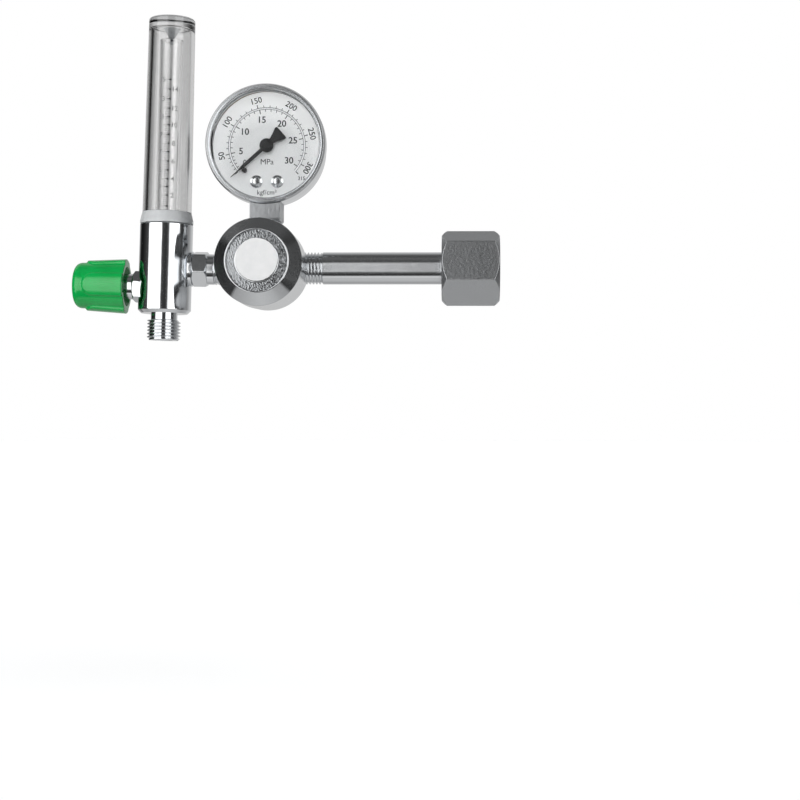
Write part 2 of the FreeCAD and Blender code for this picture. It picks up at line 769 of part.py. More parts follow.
def gauge_socket():
    """Neck block with its thread, cut to the bezel, and the lugs that carry dial and movement."""
    half = neck_width / 2
    top = gauge_height - bezel_dia / 2 + 4
    neck = Part.makeBox(neck_width, neck_front + neck_back, top - neck_bottom,
                        Vector(-half, -neck_front, neck_bottom))
    neck = neck.makeFillet(neck_corner, [edge for edge in neck.Edges if edge.BoundBox.ZMax < neck_bottom + 0.01])
    neck.translate(body_axis)
    neck = neck.cut(rod(bezel_dia + 2 * bezel_to_neck_gap, -bezel_back - bezel_to_neck_gap, bezel_front + 1,
                        gauge_axis, AHEAD))
    neck = neck.cut(rod(gauge_case_dia, -gauge_case_back, bezel_front, gauge_axis, AHEAD))
    inner = Part.makeBox(neck_width, neck_back - socket_front, gauge_case_dia / 2 - socket_top_drop + 0.5,
                         Vector(-half, socket_front, -gauge_case_dia / 2 - 0.5))
    ledge = Part.makeBox(neck_width, ledge_thickness, socket_top_drop - ledge_top_drop,
                         Vector(-half, socket_front, -socket_top_drop))
    riser = Part.makeBox(half - riser_inner, neck_back - socket_front, socket_top_drop - riser_top_drop,
                         Vector(-half, socket_front, -socket_top_drop))
    socket = neck.fuse(on_gauge(inner)).fuse(on_gauge(ledge)).fuse(on_gauge(riser))
    neck_axis = body_axis + Vector(0, neck_middle, 0)
    port_top = gauge_height - socket_top_drop - 2.5
    thread_start = neck_bottom - neck_thread_depth
    socket = socket.fuse(rod(neck_thread_dia, thread_start, neck_bottom, neck_axis, UP))
    socket = socket.cut(rod(neck_port_dia, thread_start, port_top, neck_axis, UP))
    port_end = neck_axis + Vector(0, 0, port_top - 0.5)
    start_angle = math.radians(bourdon_start_deg - 2)
    tube_end = gauge_axis + Vector(bourdon_radius * math.cos(start_angle), bourdon_middle,
                                   bourdon_radius * math.sin(start_angle))
    reach = tube_end - port_end
    socket = socket.cut(Part.makeCylinder(socket_cross_port_dia / 2, reach.Length, port_end, reach))
    socket = socket.cut(bourdon_tube(solid=True))
    for place in dial_screw_places():
        socket = socket.cut(rod(dial_screw_dia, -socket_front - dial_screw_length + dial_thickness,
                                -socket_front, gauge_axis + place, AHEAD))
    for place in plate_screw_places():
        socket = socket.cut(rod(plate_screw_dia, -movement_back, plate_screw_length - movement_plate_thickness
                                - movement_back, gauge_axis + place, AHEAD))
    return socket


# Gauge movement

def bourdon_tube(solid=False):
    """Flattened tube bent to a C. Gas pressure opens it, and its tip pulls the link."""
    def section(width, thickness):
        half = (width - thickness) / 2
        end = thickness / 2
        low = Vector(bourdon_radius - end, bourdon_middle - half, 0)
        high = Vector(bourdon_radius - end, bourdon_middle + half, 0)
        far_high = high + Vector(thickness, 0, 0)
        far_low = low + Vector(thickness, 0, 0)
        top = Vector(bourdon_radius, bourdon_middle + half + end, 0)
        bottom = Vector(bourdon_radius, bourdon_middle - half - end, 0)
        return Part.Wire([Part.makeLine(low, high), Part.Arc(high, top, far_high).toShape(),
                          Part.makeLine(far_high, far_low), Part.Arc(far_low, bottom, low).toShape()])
    outer = Part.Face(section(bourdon_width, bourdon_thickness))
    face = outer
    if not solid:
        inner = Part.Face(section(bourdon_width - 2 * bourdon_wall, bourdon_thickness - 2 * bourdon_wall))
        face = outer.cut(inner).Faces[0]
    face.rotate(Vector(), Vector(0, 1, 0), -bourdon_start_deg)
    tube = face.revolve(Vector(), Vector(0, 1, 0), bourdon_sweep_deg)
    return on_gauge(tube)


def tip_angle(offset_deg):
    """Angle of a point of the tube's tip, from +X towards +Z."""
    return math.radians(bourdon_start_deg - bourdon_sweep_deg - offset_deg)


def tip_pin_place():
    """Axis of the pin at the Bourdon tube's tip, in gauge coordinates."""
    angle = tip_angle(tip_pin_deg)
    return Vector(bourdon_radius * math.cos(angle), 0, bourdon_radius * math.sin(angle))


def tube_tip():
    """Plug that closes the tube, with a lug and the pin that the link's slot slides on."""
    def piece(low, high, width, offset_deg, sweep_deg):
        face = Part.Face(Part.makePolygon([
            Vector(bourdon_radius - width / 2, low, 0), Vector(bourdon_radius + width / 2, low, 0),
            Vector(bourdon_radius + width / 2, high, 0), Vector(bourdon_radius - width / 2, high, 0),
            Vector(bourdon_radius - width / 2, low, 0)]))
        face.rotate(Vector(), Vector(0, 1, 0), -(bourdon_start_deg - bourdon_sweep_deg - offset_deg))
        return face.revolve(Vector(), Vector(0, 1, 0), sweep_deg)
    half = bourdon_width / 2
    plug = piece(bourdon_middle - half, bourdon_middle + half, bourdon_thickness, 0, tip_plug_deg)
    lug = piece(sector_start, sector_start + sector_thickness, bourdon_thickness, tip_plug_deg - 0.5,
                tip_lug_deg - tip_plug_deg + 0.5)
    back = sector_start + sector_thickness
    pin = rod(link_pin_dia, -back - link_pin_height, -sector_start - 0.1, tip_pin_place(), AHEAD)
    return on_gauge(plug.fuse(lug).fuse(pin))


def sector_pivot():
    """Axis of the toothed sector, straight below the pinion, in gauge coordinates."""
    return Vector(0, 0, -gear_distance)


def tail_pin_place(swing_deg=0):
    """Axis of the pin in the sector's tail after a swing, in gauge coordinates."""
    angle = math.radians(tail_angle_deg + swing_deg)
    return sector_pivot() + Vector(tail_length * math.cos(angle), 0, tail_length * math.sin(angle))


def gear_outline(teeth, addendum, dedendum, first, last, phase_deg):
    """Points of a run of involute teeth, anticlockwise from +X towards +Z, about (0, 0)."""
    pitch = gear_module * teeth / 2
    base = pitch * math.cos(math.radians(pressure_angle_deg))
    root = pitch - dedendum
    tip = pitch + addendum
    pressure = math.radians(pressure_angle_deg)
    half_tooth = math.pi / (2 * teeth) - gear_backlash / (4 * pitch)
    involute_at_pitch = math.tan(pressure) - pressure

    def half_angle(radius):
        if radius <= base:
            return half_tooth + involute_at_pitch
        slope = math.acos(base / radius)
        return half_tooth + involute_at_pitch - (math.tan(slope) - slope)

    start = max(base, root)
    radii = [start + (tip - start) * step / 3 for step in range(4)]
    if root < base:
        radii.insert(0, root)
    points = []
    for tooth in range(first, last + 1):
        middle = math.radians(phase_deg) + 2 * math.pi * tooth / teeth
        for radius in radii:
            angle = middle - half_angle(radius)
            points.append((radius * math.cos(angle), radius * math.sin(angle)))
        for radius in reversed(radii):
            angle = middle + half_angle(radius)
            points.append((radius * math.cos(angle), radius * math.sin(angle)))
    return points


def pinion_arbor():
    """Arbor with the pinion cut on it, a pivot at the back and the pointer's seat in front."""
    sector_reach = sector_addendum_share * gear_module
    teeth = gear_outline(pinion_teeth, pinion_addendum_share * gear_module, sector_reach + tooth_root_clearance,
                         0, pinion_teeth - 1, -90)
    width = sector_thickness + 2 * pinion_extra_width
    pinion = Part.Face(outline(teeth)).extrude(Vector(0, width, 0))
    pinion.translate(Vector(0, sector_start - pinion_extra_width, 0))
    plate_back = movement_front + movement_plate_thickness
    shaft = rod(arbor_dia, -movement_back + 0.1, -plate_back - 0.1, Vector(), AHEAD)
    pivot = rod(pivot_dia, -movement_back - movement_plate_thickness, pointer_hub_thickness - pointer_back,
                Vector(), AHEAD)
    return on_gauge(pinion.fuse(shaft).fuse(pivot))


def sector_gear():
    """Toothed sector on its arbor, lightened between hub and rim, with a tail for the link."""
    tooth_deg = 360 / sector_full_teeth
    last = sector_spare_teeth
    first = -int(math.ceil(sector_swing_deg / tooth_deg)) - 1 - sector_spare_teeth
    reach = pinion_addendum_share * gear_module + tooth_root_clearance
    phase = 90 + tooth_deg / 2
    teeth = gear_outline(sector_full_teeth, sector_addendum_share * gear_module, reach, first, last, phase)
    inner = sector_pitch_radius - reach - sector_rim_width
    start = math.radians(phase + tooth_deg * (first - 0.5))
    end = math.radians(phase + tooth_deg * (last + 0.5))
    steps = 6
    for step in range(steps + 1):
        angle = end + (start - end) * step / steps
        teeth.append((inner * math.cos(angle), inner * math.sin(angle)))
    rim = Part.Face(outline(teeth)).extrude(Vector(0, sector_thickness, 0))
    arms = []
    for angle in (start + 0.12, end - 0.12):
        foot = (0, 0)
        arms.append((foot, (math.cos(angle) * (inner + 0.4), math.sin(angle) * (inner + 0.4)), 1.5))
    tail = math.radians(tail_angle_deg)
    arms.append(((0, 0), (tail_length * math.cos(tail), tail_length * math.sin(tail)), tail_width))
    sector = rim.fuse(rod(sector_hub_dia, -sector_thickness, 0, Vector(), AHEAD))
    for near, far, width in arms:
        sector = sector.fuse(hull_of_circles([near, far], width / 2, sector_thickness))
    sector.translate(Vector(0, sector_start, 0))
    plate_back = movement_front + movement_plate_thickness
    sector = sector.fuse(rod(arbor_dia, -movement_back + 0.1, -plate_back - 0.1, Vector(), AHEAD))
    sector = sector.fuse(rod(pivot_dia, -movement_back - movement_plate_thickness, -movement_front, Vector(),
                             AHEAD))
    sector.translate(sector_pivot())
    back = sector_start + sector_thickness
    pin = rod(link_pin_dia, -back - link_pin_height, -sector_start - 0.1, tail_pin_place(), AHEAD)
    return on_gauge(sector.fuse(pin))


def movement_link():
    """Link from the sector's tail, with a slot at the tube's tip that takes up the tip's travel."""
    near = tip_pin_place() - tail_pin_place(sector_swing_deg)
    far = tip_pin_place() - tail_pin_place()
    end = far.Length
    fork = end + link_fork_reach - link_width / 2
    strap = hull_of_circles([(0, 0), (fork, 0)], link_width / 2, link_thickness)
    hole = rod(link_pin_dia + 2 * pivot_gap, -link_thickness, 0, Vector(), AHEAD)
    slot = hull_of_circles([(near.Length - link_slot_spare, 0), (end + link_width, 0)],
                           link_pin_dia / 2 + link_slot_spare, link_thickness)
    link = strap.cut(hole).cut(slot)
    link.rotate(Vector(), Vector(0, 1, 0), -math.degrees(math.atan2(far.z, far.x)))
    link.translate(tail_pin_place() + Vector(0, link_start, 0))
    return on_gauge(link)


def pillar_places():
    """The two pillars beside the pinion, right one first, in gauge coordinates."""
    return [Vector(side * pillar_spread / 2, 0, -pillar_drop) for side in (1, -1)]


def plate_screw_places():
    """The two screws through the rear plate, right one first, in gauge coordinates."""
    return [Vector(side * plate_screw_spread / 2, 0, -plate_screw_drop) for side in (1, -1)]


def pivot_holes(plate, start):
    """Cuts the arbor holes and the pillar holes of a movement plate."""
    for place in (Vector(), sector_pivot()):
        plate = plate.cut(rod(pivot_dia + 2 * pivot_gap, -start - movement_plate_thickness, -start,
                              place, AHEAD))
    for place in pillar_places():
        plate = plate.cut(rod(pillar_end_dia, -start - movement_plate_thickness, -start, place, AHEAD))
    return plate


def movement_plate_front():
    """Front plate of the movement, carried by the pillars."""
    pivot = sector_pivot()
    right, left = pillar_places()
    corners = [(left.x, left.z), (pivot.x, pivot.z), (right.x, right.z)]
    plate = hull_of_circles(corners, movement_plate_edge, movement_plate_thickness)
    plate.translate(Vector(0, movement_front, 0))
    return on_gauge(pivot_holes(plate, movement_front))


def movement_plate_rear():
    """Rear plate, screwed to the back of the socket, with the stud of the hairspring."""
    right, left = pillar_places()
    low_right, low_left = plate_screw_places()
    corners = [(left.x, left.z), (low_left.x, low_left.z), (low_right.x, low_right.z), (right.x, right.z)]
    plate = hull_of_circles(corners, movement_plate_edge, movement_plate_thickness)
    plate.translate(Vector(0, movement_back, 0))
    plate = pivot_holes(plate, movement_back)
    for place in plate_screw_places():
        plate = plate.cut(rod(plate_screw_dia, -movement_back - movement_plate_thickness, -movement_back,
                              place, AHEAD))
    stud_at = Vector(0, 0, -hairspring_outer_dia / 2 - hairspring_stud_dia / 2)
    stud = rod(hairspring_stud_dia, -movement_back - movement_plate_thickness / 2, -hairspring_start,
               stud_at, AHEAD)
    return on_gauge(plate.fuse(stud))


def movement_pillars():
    """Two pillars riveted between the plates."""
    start = movement_front + movement_plate_thickness
    pillars = []
    for place in pillar_places():
        middle = rod(pillar_dia, -movement_back, -start, place, AHEAD)
        ends = rod(pillar_end_dia, -movement_back - movement_plate_thickness, -movement_front, place, AHEAD)
        pillars.append(on_gauge(middle.fuse(ends)))
    return Part.makeCompound(pillars)


def plate_screws():
    """Two screws that hold the rear plate to the socket."""
    seat = movement_back + movement_plate_thickness
    screws = []
    for place in plate_screw_places():
        head = rod(plate_screw_head_dia, -seat - plate_screw_head_height, -seat, place, AHEAD)
        shank = rod(plate_screw_dia, -seat, plate_screw_length - seat, place, AHEAD)
        screws.append(on_gauge(head.fuse(shank)))
    return Part.makeCompound(screws)


def hairspring():
    """Flat spiral that takes the play out of the teeth, from the arbor to its stud."""
    inner = hairspring_inner_dia / 2
    outer = hairspring_outer_dia / 2 - hairspring_strip
    steps = int(16 * hairspring_turns)
    near = []
    far = []
    for step in range(steps + 1):
        angle = 2 * math.pi * hairspring_turns * (step / steps - 1) - math.pi / 2
        radius = inner + (outer - inner) * step / steps
        direction = Vector(math.cos(angle), 0, math.sin(angle))
        near.append(direction * radius)
        far.append(direction * (radius + hairspring_strip))
    spiral_in = Part.BSplineCurve()
    spiral_in.interpolate(near)
    spiral_out = Part.BSplineCurve()
    spiral_out.interpolate(far)
    edges = [spiral_in.toShape(), Part.makeLine(near[-1], far[-1]), spiral_out.toShape(),
             Part.makeLine(far[0], near[0])]
    strip = Part.Face(Part.Wire(Part.__sortEdges__(edges))).extrude(Vector(0, hairspring_width, 0))
    collet = ring(hairspring_inner_dia + 0.1, arbor_dia, -hairspring_start - hairspring_width,
                  -hairspring_start, Vector(), AHEAD)
    strip.translate(Vector(0, hairspring_start, 0))
    return on_gauge(strip.fuse(collet))


# Flowmeter pieces, drawn upright about the flowmeter's axis

def knob_axis_origin():
    """Point where the flow valve's axis crosses the flowmeter's axis."""
    return Vector(0, 0, -knob_drop)


def flowmeter_body():
    """Chromed body with a well for the tubes, the valve well, two side ports and the outlet."""
    radius = flow_body_dia / 2
    profile = [(0, -flow_body_bottom), (radius - flow_body_bottom_chamfer, -flow_body_bottom),
               (radius, flow_body_bottom_chamfer - flow_body_bottom),
               (radius, flow_body_top - flow_body_top_chamfer),
               (radius - flow_body_top_chamfer, flow_body_top), (0, flow_body_top)]
    body = turned(profile, Vector(), UP)
    body = body.cut(rod(tube_well_dia, well_floor, flow_body_top, Vector(), UP))
    foot = inner_tube_foot - seal_thickness
    body = body.cut(rod(inner_tube_dia, foot, well_floor, Vector(), UP))
    body = body.cut(rod(feed_dia, 0, foot, Vector(), UP)).cut(Part.makeSphere(feed_dia / 2))
    body = body.cut(rod(feed_dia, 0, radius, Vector(), RIGHT))
    body = body.cut(rod(washer_dia + 0.4, union_face, radius + 1, Vector(), RIGHT))
    body = body.cut(rod(union_spigot_dia, union_face - union_spigot_length, radius, Vector(), RIGHT))
    knob_origin = knob_axis_origin()
    spot = gland_flats * 2 / math.sqrt(3) + 0.4
    body = body.cut(rod(spot, gland_face, radius + 1, knob_origin, LEFT))
    body = body.cut(rod(valve_well_dia, valve_well_floor, radius, knob_origin, LEFT))
    body = body.cut(rod(valve_orifice_dia, 0, valve_well_floor, knob_origin, LEFT))
    body = body.cut(rod(return_dia, -knob_drop, well_floor, Vector(-return_radius, 0, 0), UP))
    body = body.cut(rod(outlet_spigot_dia, -flow_body_bottom, outlet_spigot_length - flow_body_bottom,
                        Vector(), UP))
    body = body.cut(rod(outlet_passage_dia, -flow_body_bottom, -knob_drop, Vector(), UP))
    return on_flowmeter(body)


def outer_tube():
    """Clear outer tube: screwed skirt, flange, coned collar, long taper and closed end."""
    skirt = outer_tube_skirt_dia / 2
    flange_top = flow_body_top + outer_tube_flange
    skirt_foot = flow_body_top - outer_tube_skirt
    base = outer_tube_base_dia / 2
    top = outer_tube_top_dia / 2
    wall = outer_tube_wall
    profile = [(base - wall, skirt_foot), (skirt, skirt_foot), (skirt, flow_body_top),
               (outer_tube_flange_dia / 2, flow_body_top), (outer_tube_flange_dia / 2, flange_top),
               (base, outer_tube_collar_top), (top, outer_tube_top, outer_tube_top_round),
               (0, outer_tube_top), (0, outer_tube_ceiling), (top - wall, outer_tube_ceiling, 1.0)]
    return on_flowmeter(turned(profile, Vector(), UP))


def outer_tube_o_ring():
    """O-ring under the outer tube's skirt."""
    low = well_floor
    high = flow_body_top - outer_tube_skirt
    middle = tube_well_dia / 2 - o_ring_section / 2 - o_ring_squeeze_gap
    torus = Part.makeTorus(middle, o_ring_section / 2 - o_ring_squeeze_gap)
    torus.translate(Vector(0, 0, (low + high) / 2))
    return on_flowmeter(torus)


def inner_tube():
    """Clear metering tube whose bore widens upwards, with the flow scale on its outside."""
    low = inner_tube_bottom_bore_dia / 2
    seat = inner_tube_foot + seat_height
    profile = [(low, inner_tube_foot), (inner_tube_dia / 2, inner_tube_foot),
               (inner_tube_dia / 2, inner_tube_top), (inner_tube_top_bore_dia / 2, inner_tube_top),
               (low, seat)]
    return on_flowmeter(turned(profile, Vector(), UP))


def inner_tube_seal():
    """Flat rubber washer under the metering tube."""
    return on_flowmeter(ring(inner_tube_dia, feed_dia, inner_tube_foot - seal_thickness, inner_tube_foot,
                             Vector(), UP))


def ball_seat():
    """Short bush in the foot of the metering tube, coned for the ball."""
    outer = inner_tube_bottom_bore_dia / 2
    bore = seat_bore_dia / 2
    top = inner_tube_foot + seat_height
    contact = math.sqrt((ball_dia / 2) ** 2 - (ball_dia / 2 - 0.9) ** 2)
    profile = [(bore, inner_tube_foot), (outer, inner_tube_foot), (outer, top), (contact, top),
               (bore, top - 0.8)]
    return on_flowmeter(turned(profile, Vector(), UP))


def float_ball():
    """Ball that rides in the metering tube, at rest on its seat."""
    return on_flowmeter(Part.makeSphere(ball_dia / 2, Vector(0, 0, ball_rest)))


def float_stop():
    """Grey cone under the closed end, with the wire that stops the ball."""
    ceiling = outer_tube_ceiling
    tip = ceiling - stop_cone_length
    end = ball_top + stop_ball_gap
    profile = [(0, end), (stop_wire_dia / 2, end), (stop_wire_dia / 2, tip), (stop_cone_tip_dia / 2, tip),
               (stop_cone_dia / 2, ceiling), (0, ceiling)]
    return on_flowmeter(turned(profile, Vector(), UP))


def outlet_nipple():
    """Outlet screwed into the body: neck, threaded end and bore with a chamfered mouth."""
    low = -flow_body_bottom
    neck = low - outlet_neck_length
    end = neck - outlet_thread_length
    spigot = low + outlet_spigot_length
    thread = outlet_thread_dia / 2
    bore = outlet_bore_dia / 2
    bore_end = end + outlet_bore_length
    profile = [(bore + outlet_mouth_chamfer, end), (thread - outlet_thread_chamfer, end),
               (thread, end + outlet_thread_chamfer), (thread, neck), (outlet_neck_dia / 2, neck),
               (outlet_neck_dia / 2, low), (outlet_spigot_dia / 2, low), (outlet_spigot_dia / 2, spigot),
               (outlet_passage_dia / 2, spigot), (outlet_passage_dia / 2, bore_end), (bore, bore_end),
               (bore, end + outlet_mouth_chamfer)]
    return on_flowmeter(turned(profile, Vector(), UP))


def fitting_washer():
    """Round washer between the flowmeter's body and the union's hexagon."""
    return on_flowmeter(ring(washer_dia, union_spigot_dia, union_face, washer_end, Vector(), RIGHT))


def outlet_fitting():
    """Union: threaded spigot, hexagon, neck and the thread into the regulator body."""
    start = union_face - union_spigot_length
    bar = hexagon(union_hex_flats, washer_end, union_hex_end, Vector(), RIGHT, union_hex_turn_deg)
    stages = [(union_spigot_dia, start, washer_end), (union_neck_dia, union_hex_end,
              union_hex_end + union_neck_length), (union_thread_dia, union_hex_end + union_neck_length,
              union_end)]
    for dia, low, high in stages:
        bar = bar.fuse(rod(dia, low, high, Vector(), RIGHT))
    return on_flowmeter(bar.cut(rod(union_bore_dia, start, union_end, Vector(), RIGHT)))


def gland_nut():
    """Gland: spigot in the valve well, hexagon, round neck, and a well for the packing."""
    origin = knob_axis_origin()
    start = gland_face - gland_spigot_length
    bar = hexagon(gland_flats, gland_face, gland_hex_end, origin, LEFT, gland_turn_deg)
    bar = bar.fuse(rod(gland_spigot_dia, start, gland_face, origin, LEFT))
    bar = bar.fuse(rod(gland_round_dia, gland_hex_end, gland_round_end, origin, LEFT))
    bar = bar.cut(rod(gland_bore_dia, start, gland_round_end, origin, LEFT))
    return on_flowmeter(bar.cut(rod(packing_dia, start, start + packing_depth, origin, LEFT)))


def spindle_o_ring():
    """O-ring round the spindle, in the gland's well."""
    start = gland_face - gland_spigot_length
    section = min((packing_dia - gland_bore_dia) / 2, packing_depth)
    middle = (packing_dia + gland_bore_dia) / 4
    torus = Part.makeTorus(middle, section / 2 - spindle_running_gap)
    return on_flowmeter(aimed(torus, knob_axis_origin() + LEFT * (start + packing_depth / 2), LEFT))


def valve_spindle():
    """Needle spindle: coned tip in the orifice, straight stem out through the gland."""
    tip = valve_well_floor - spindle_tip_length * 0.5
    profile = [(0, tip), (spindle_tip_dia / 2, tip), (valve_orifice_dia / 2 - 0.05, valve_well_floor + 0.05),
               (spindle_dia / 2, valve_well_floor + 0.4), (spindle_dia / 2, spindle_end, 0.5),
               (0, spindle_end)]
    return on_flowmeter(turned(profile, knob_axis_origin(), LEFT))


def knob_insert():
    """Brass bush moulded into the knob's boss and pressed on the spindle."""
    return on_flowmeter(ring(insert_dia, spindle_dia + 2 * spindle_running_gap, knob_boss_start, spindle_end,
                             knob_axis_origin(), LEFT))


def knob_pad(angle_deg):
    """One raised finger pad: an arch-ended tongue that grows towards the rim."""
    half = knob_pad_width / 2
    middle = knob_pad_tip - half
    tongue = Part.Wire([
        Part.makeLine(Vector(half, 0, knob_rim), Vector(half, 0, middle)),
        Part.Arc(Vector(half, 0, middle), Vector(0, 0, knob_pad_tip), Vector(-half, 0, middle)).toShape(),
        Part.makeLine(Vector(-half, 0, middle), Vector(-half, 0, knob_rim)),
        Part.makeLine(Vector(-half, 0, knob_rim), Vector(half, 0, knob_rim))])
    tongue = Part.Face(tongue).extrude(Vector(0, knob_pad_rim_dia, 0))
    tongue.rotate(Vector(), UP, angle_deg)
    return tongue


def flow_knob():
    """Moulded hollow knob: tapered cup, four arched finger pads and a boss on the spindle."""
    base = knob_base_dia / 2
    rim = knob_rim_dia / 2
    cup = Part.Face(outline([(0, knob_rim), (rim, knob_rim, 0.4), (base, knob_end, knob_end_round),
                             (0, knob_end)])).revolve(Vector(), UP, 360)
    envelope = Part.Face(outline([(0, knob_rim), (knob_pad_rim_dia / 2, knob_rim, 0.4),
                                  (knob_pad_end_dia / 2, knob_pad_tip), (0, knob_pad_tip)]))
    envelope = envelope.revolve(Vector(), UP, 360)
    for index in range(knob_pad_count):
        cup = cup.fuse(envelope.common(knob_pad(360 * index / knob_pad_count)))
    hollow_end = knob_end - knob_end_wall
    hollow = Part.Face(outline([(0, knob_rim), (rim - knob_wall, knob_rim), (base - knob_wall, hollow_end, 1.2),
                                (0, hollow_end)])).revolve(Vector(), UP, 360)
    boss = Part.makeCylinder(knob_boss_dia / 2, hollow_end - knob_boss_start, Vector(0, 0, knob_boss_start))
    socket = Part.makeCylinder(insert_dia / 2, spindle_end - knob_boss_start, Vector(0, 0, knob_boss_start))
    knob = cup.cut(hollow.cut(boss)).cut(socket)
    return on_flowmeter(aimed(knob, knob_axis_origin(), LEFT))


NODES = [inlet_nut, inlet_stem, inlet_filter, filter_ring, regulator_body, bonnet, seal_plug, label_disc,
         preset_screw, spring_button, main_spring, diaphragm_plate, slip_ring, diaphragm, valve_nozzle,
         poppet, poppet_spring, gauge_case, gauge_bezel, gauge_lens, lens_gasket, gauge_dial, dial_screws,
         stop_pin, gauge_pointer, gauge_socket, bourdon_tube, tube_tip, pinion_arbor, sector_gear,
         movement_link, movement_plate_front, movement_plate_rear, movement_pillars, plate_screws,
         hairspring, flowmeter_body, outer_tube, outer_tube_o_ring, inner_tube, inner_tube_seal, ball_seat,
         float_ball, float_stop, outlet_nipple, fitting_washer, outlet_fitting, gland_nut, spindle_o_ring,
         valve_spindle, knob_insert, flow_knob]

os.makedirs("parts", exist_ok=True)
for make in NODES:
    make().exportStep("parts/" + make.__name__ + ".step")
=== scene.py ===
import math

import bmesh
import bpy
from mathutils import Matrix, Quaternion, Vector


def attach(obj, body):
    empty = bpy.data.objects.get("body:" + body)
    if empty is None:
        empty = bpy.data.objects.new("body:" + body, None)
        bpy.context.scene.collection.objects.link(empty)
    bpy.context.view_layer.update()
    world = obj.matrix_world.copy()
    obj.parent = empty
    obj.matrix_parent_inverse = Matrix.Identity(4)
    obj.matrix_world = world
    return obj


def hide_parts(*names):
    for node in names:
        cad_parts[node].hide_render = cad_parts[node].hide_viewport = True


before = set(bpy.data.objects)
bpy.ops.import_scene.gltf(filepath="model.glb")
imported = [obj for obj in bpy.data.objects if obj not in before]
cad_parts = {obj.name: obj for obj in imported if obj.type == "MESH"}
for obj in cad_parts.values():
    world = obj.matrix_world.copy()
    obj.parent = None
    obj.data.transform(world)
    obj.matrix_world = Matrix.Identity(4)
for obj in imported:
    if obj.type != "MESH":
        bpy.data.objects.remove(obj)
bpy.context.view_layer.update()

# Viewpoint. A lens 0.71 m in front of the gauge, a little below the stem and to the gauge's
# right, which is how the regulator is seen when it hangs on a cylinder at chest height.

def linked(name, data):
    """Puts an object that shows the data into the scene."""
    made = bpy.data.objects.new(name, data)
    bpy.context.scene.collection.objects.link(made)
    return made


MM = 0.001
eye = Vector((-11.3, -708.7, -68.2)) * MM
aim = Vector((-38.3, 0.0, -56.2)) * MM
camera_roll_deg = 0.17
camera_data = bpy.data.cameras.new("front_view")
camera_data.sensor_width = 36.0
camera_data.lens = 74.85
camera_data.clip_start = 0.01
camera = linked("front_view", camera_data)
camera.location = eye
level_view = (aim - eye).to_track_quat("-Z", "Y")
camera.rotation_euler = (level_view @ Quaternion((0, 0, 1), math.radians(camera_roll_deg))).to_euler()
bpy.context.scene.camera = camera
bpy.context.scene.view_settings.view_transform = "Standard"


# Studio. Two tall white soft boxes stand either side of the camera, with a dark gap between
# them and dark walls beside them. Chrome shows only what stands round it, so this room is
# drawn by direction for rays that leave the metal and the clear plastic.

def linear(code):
    """Scene-linear colour, with alpha, from an sRGB hex code."""
    channels = [int(code[k:k + 2], 16) / 255 for k in (1, 3, 5)]
    channels = [c / 12.92 if c <= 0.04045 else ((c + 0.055) / 1.055) ** 2.4 for c in channels]
    return (*channels, 1.0)


def add(tree, kind, inputs=None, **settings):
    """Adds one node: settings are its own properties, inputs its sockets, as values or links."""
    made = tree.nodes.new(kind)
    for name, value in settings.items():
        setattr(made, name, value)
    for name, value in (inputs or {}).items():
        if isinstance(value, bpy.types.NodeSocket):
            tree.links.new(value, made.inputs[name])
        else:
            made.inputs[name].default_value = value
    return made


def worked(tree, operation, *values):
    """A number worked out by one operation."""
    return add(tree, "ShaderNodeMath", dict(enumerate(values)), operation=operation).outputs[0]


def span(tree, value, low, high, to_low=0.0, to_high=1.0):
    """A number, with its span from low to high brought to another."""
    sockets = {0: value, 1: low, 2: high, 3: to_low, 4: to_high}
    return add(tree, "ShaderNodeMapRange", sockets).outputs[0]


def stops(tree, along, *marks):
    """Colour along a ramp that has marks, each (place from 0 to 1, hex code)."""
    made = add(tree, "ShaderNodeValToRGB", {0: along})
    ramp = made.color_ramp
    while len(ramp.elements) > 1:
        ramp.elements.remove(ramp.elements[-1])
    for index, (place, code) in enumerate(marks):
        element = ramp.elements[0] if index == 0 else ramp.elements.new(place)
        element.position = place
        element.color = linear(code)
    return made.outputs["Color"]


def bearing(degrees):
    """Place on the room's ramp of a bearing, 0 at the camera and positive to its right."""
    return (degrees + 180) / 360


def height(degrees):
    """Place on the room's ramp of an angle above the horizon."""
    return (degrees + 90) / 180


room = bpy.data.worlds.new("studio_room")
room.use_nodes = True
room.cycles.sampling_method = "NONE"
tree = room.node_tree
tree.nodes.clear()
toward = add(tree, "ShaderNodeTexCoord").outputs["Generated"]
parts = add(tree, "ShaderNodeSeparateXYZ", {0: toward}).outputs
ahead = worked(tree, "MULTIPLY", parts[1], -1.0)
around = span(tree, worked(tree, "ARCTAN2", parts[0], ahead), -math.pi, math.pi)
above = span(tree, worked(tree, "ARCSINE", parts[2]), -math.pi / 2, math.pi / 2)
# All round at the height of the lens: the boxes are the four white marks
walls = stops(tree, around,
              (0.0, "#8f8f8f"), (bearing(-160), "#888888"), (bearing(-148), "#707070"),
              (bearing(-137), "#474747"), (bearing(-126), "#0e0e0e"), (bearing(-104), "#121212"),
              (bearing(-88), "#252525"), (bearing(-72), "#363636"), (bearing(-66), "#ffffff"),
              (bearing(-12), "#ffffff"), (bearing(-9), "#676767"), (bearing(-5), "#2e2e2e"),
              (bearing(11), "#222222"), (bearing(20), "#3d3d3d"), (bearing(28), "#ffffff"),
              (bearing(64), "#ffffff"), (bearing(71), "#474747"), (bearing(77), "#2a2a2a"),
              (bearing(89), "#252525"), (bearing(98), "#3d3d3d"), (bearing(108), "#636363"),
              (bearing(120), "#5e5e5e"), (bearing(132), "#707070"), (bearing(150), "#8d8d8d"),
              (1.0, "#8f8f8f"))
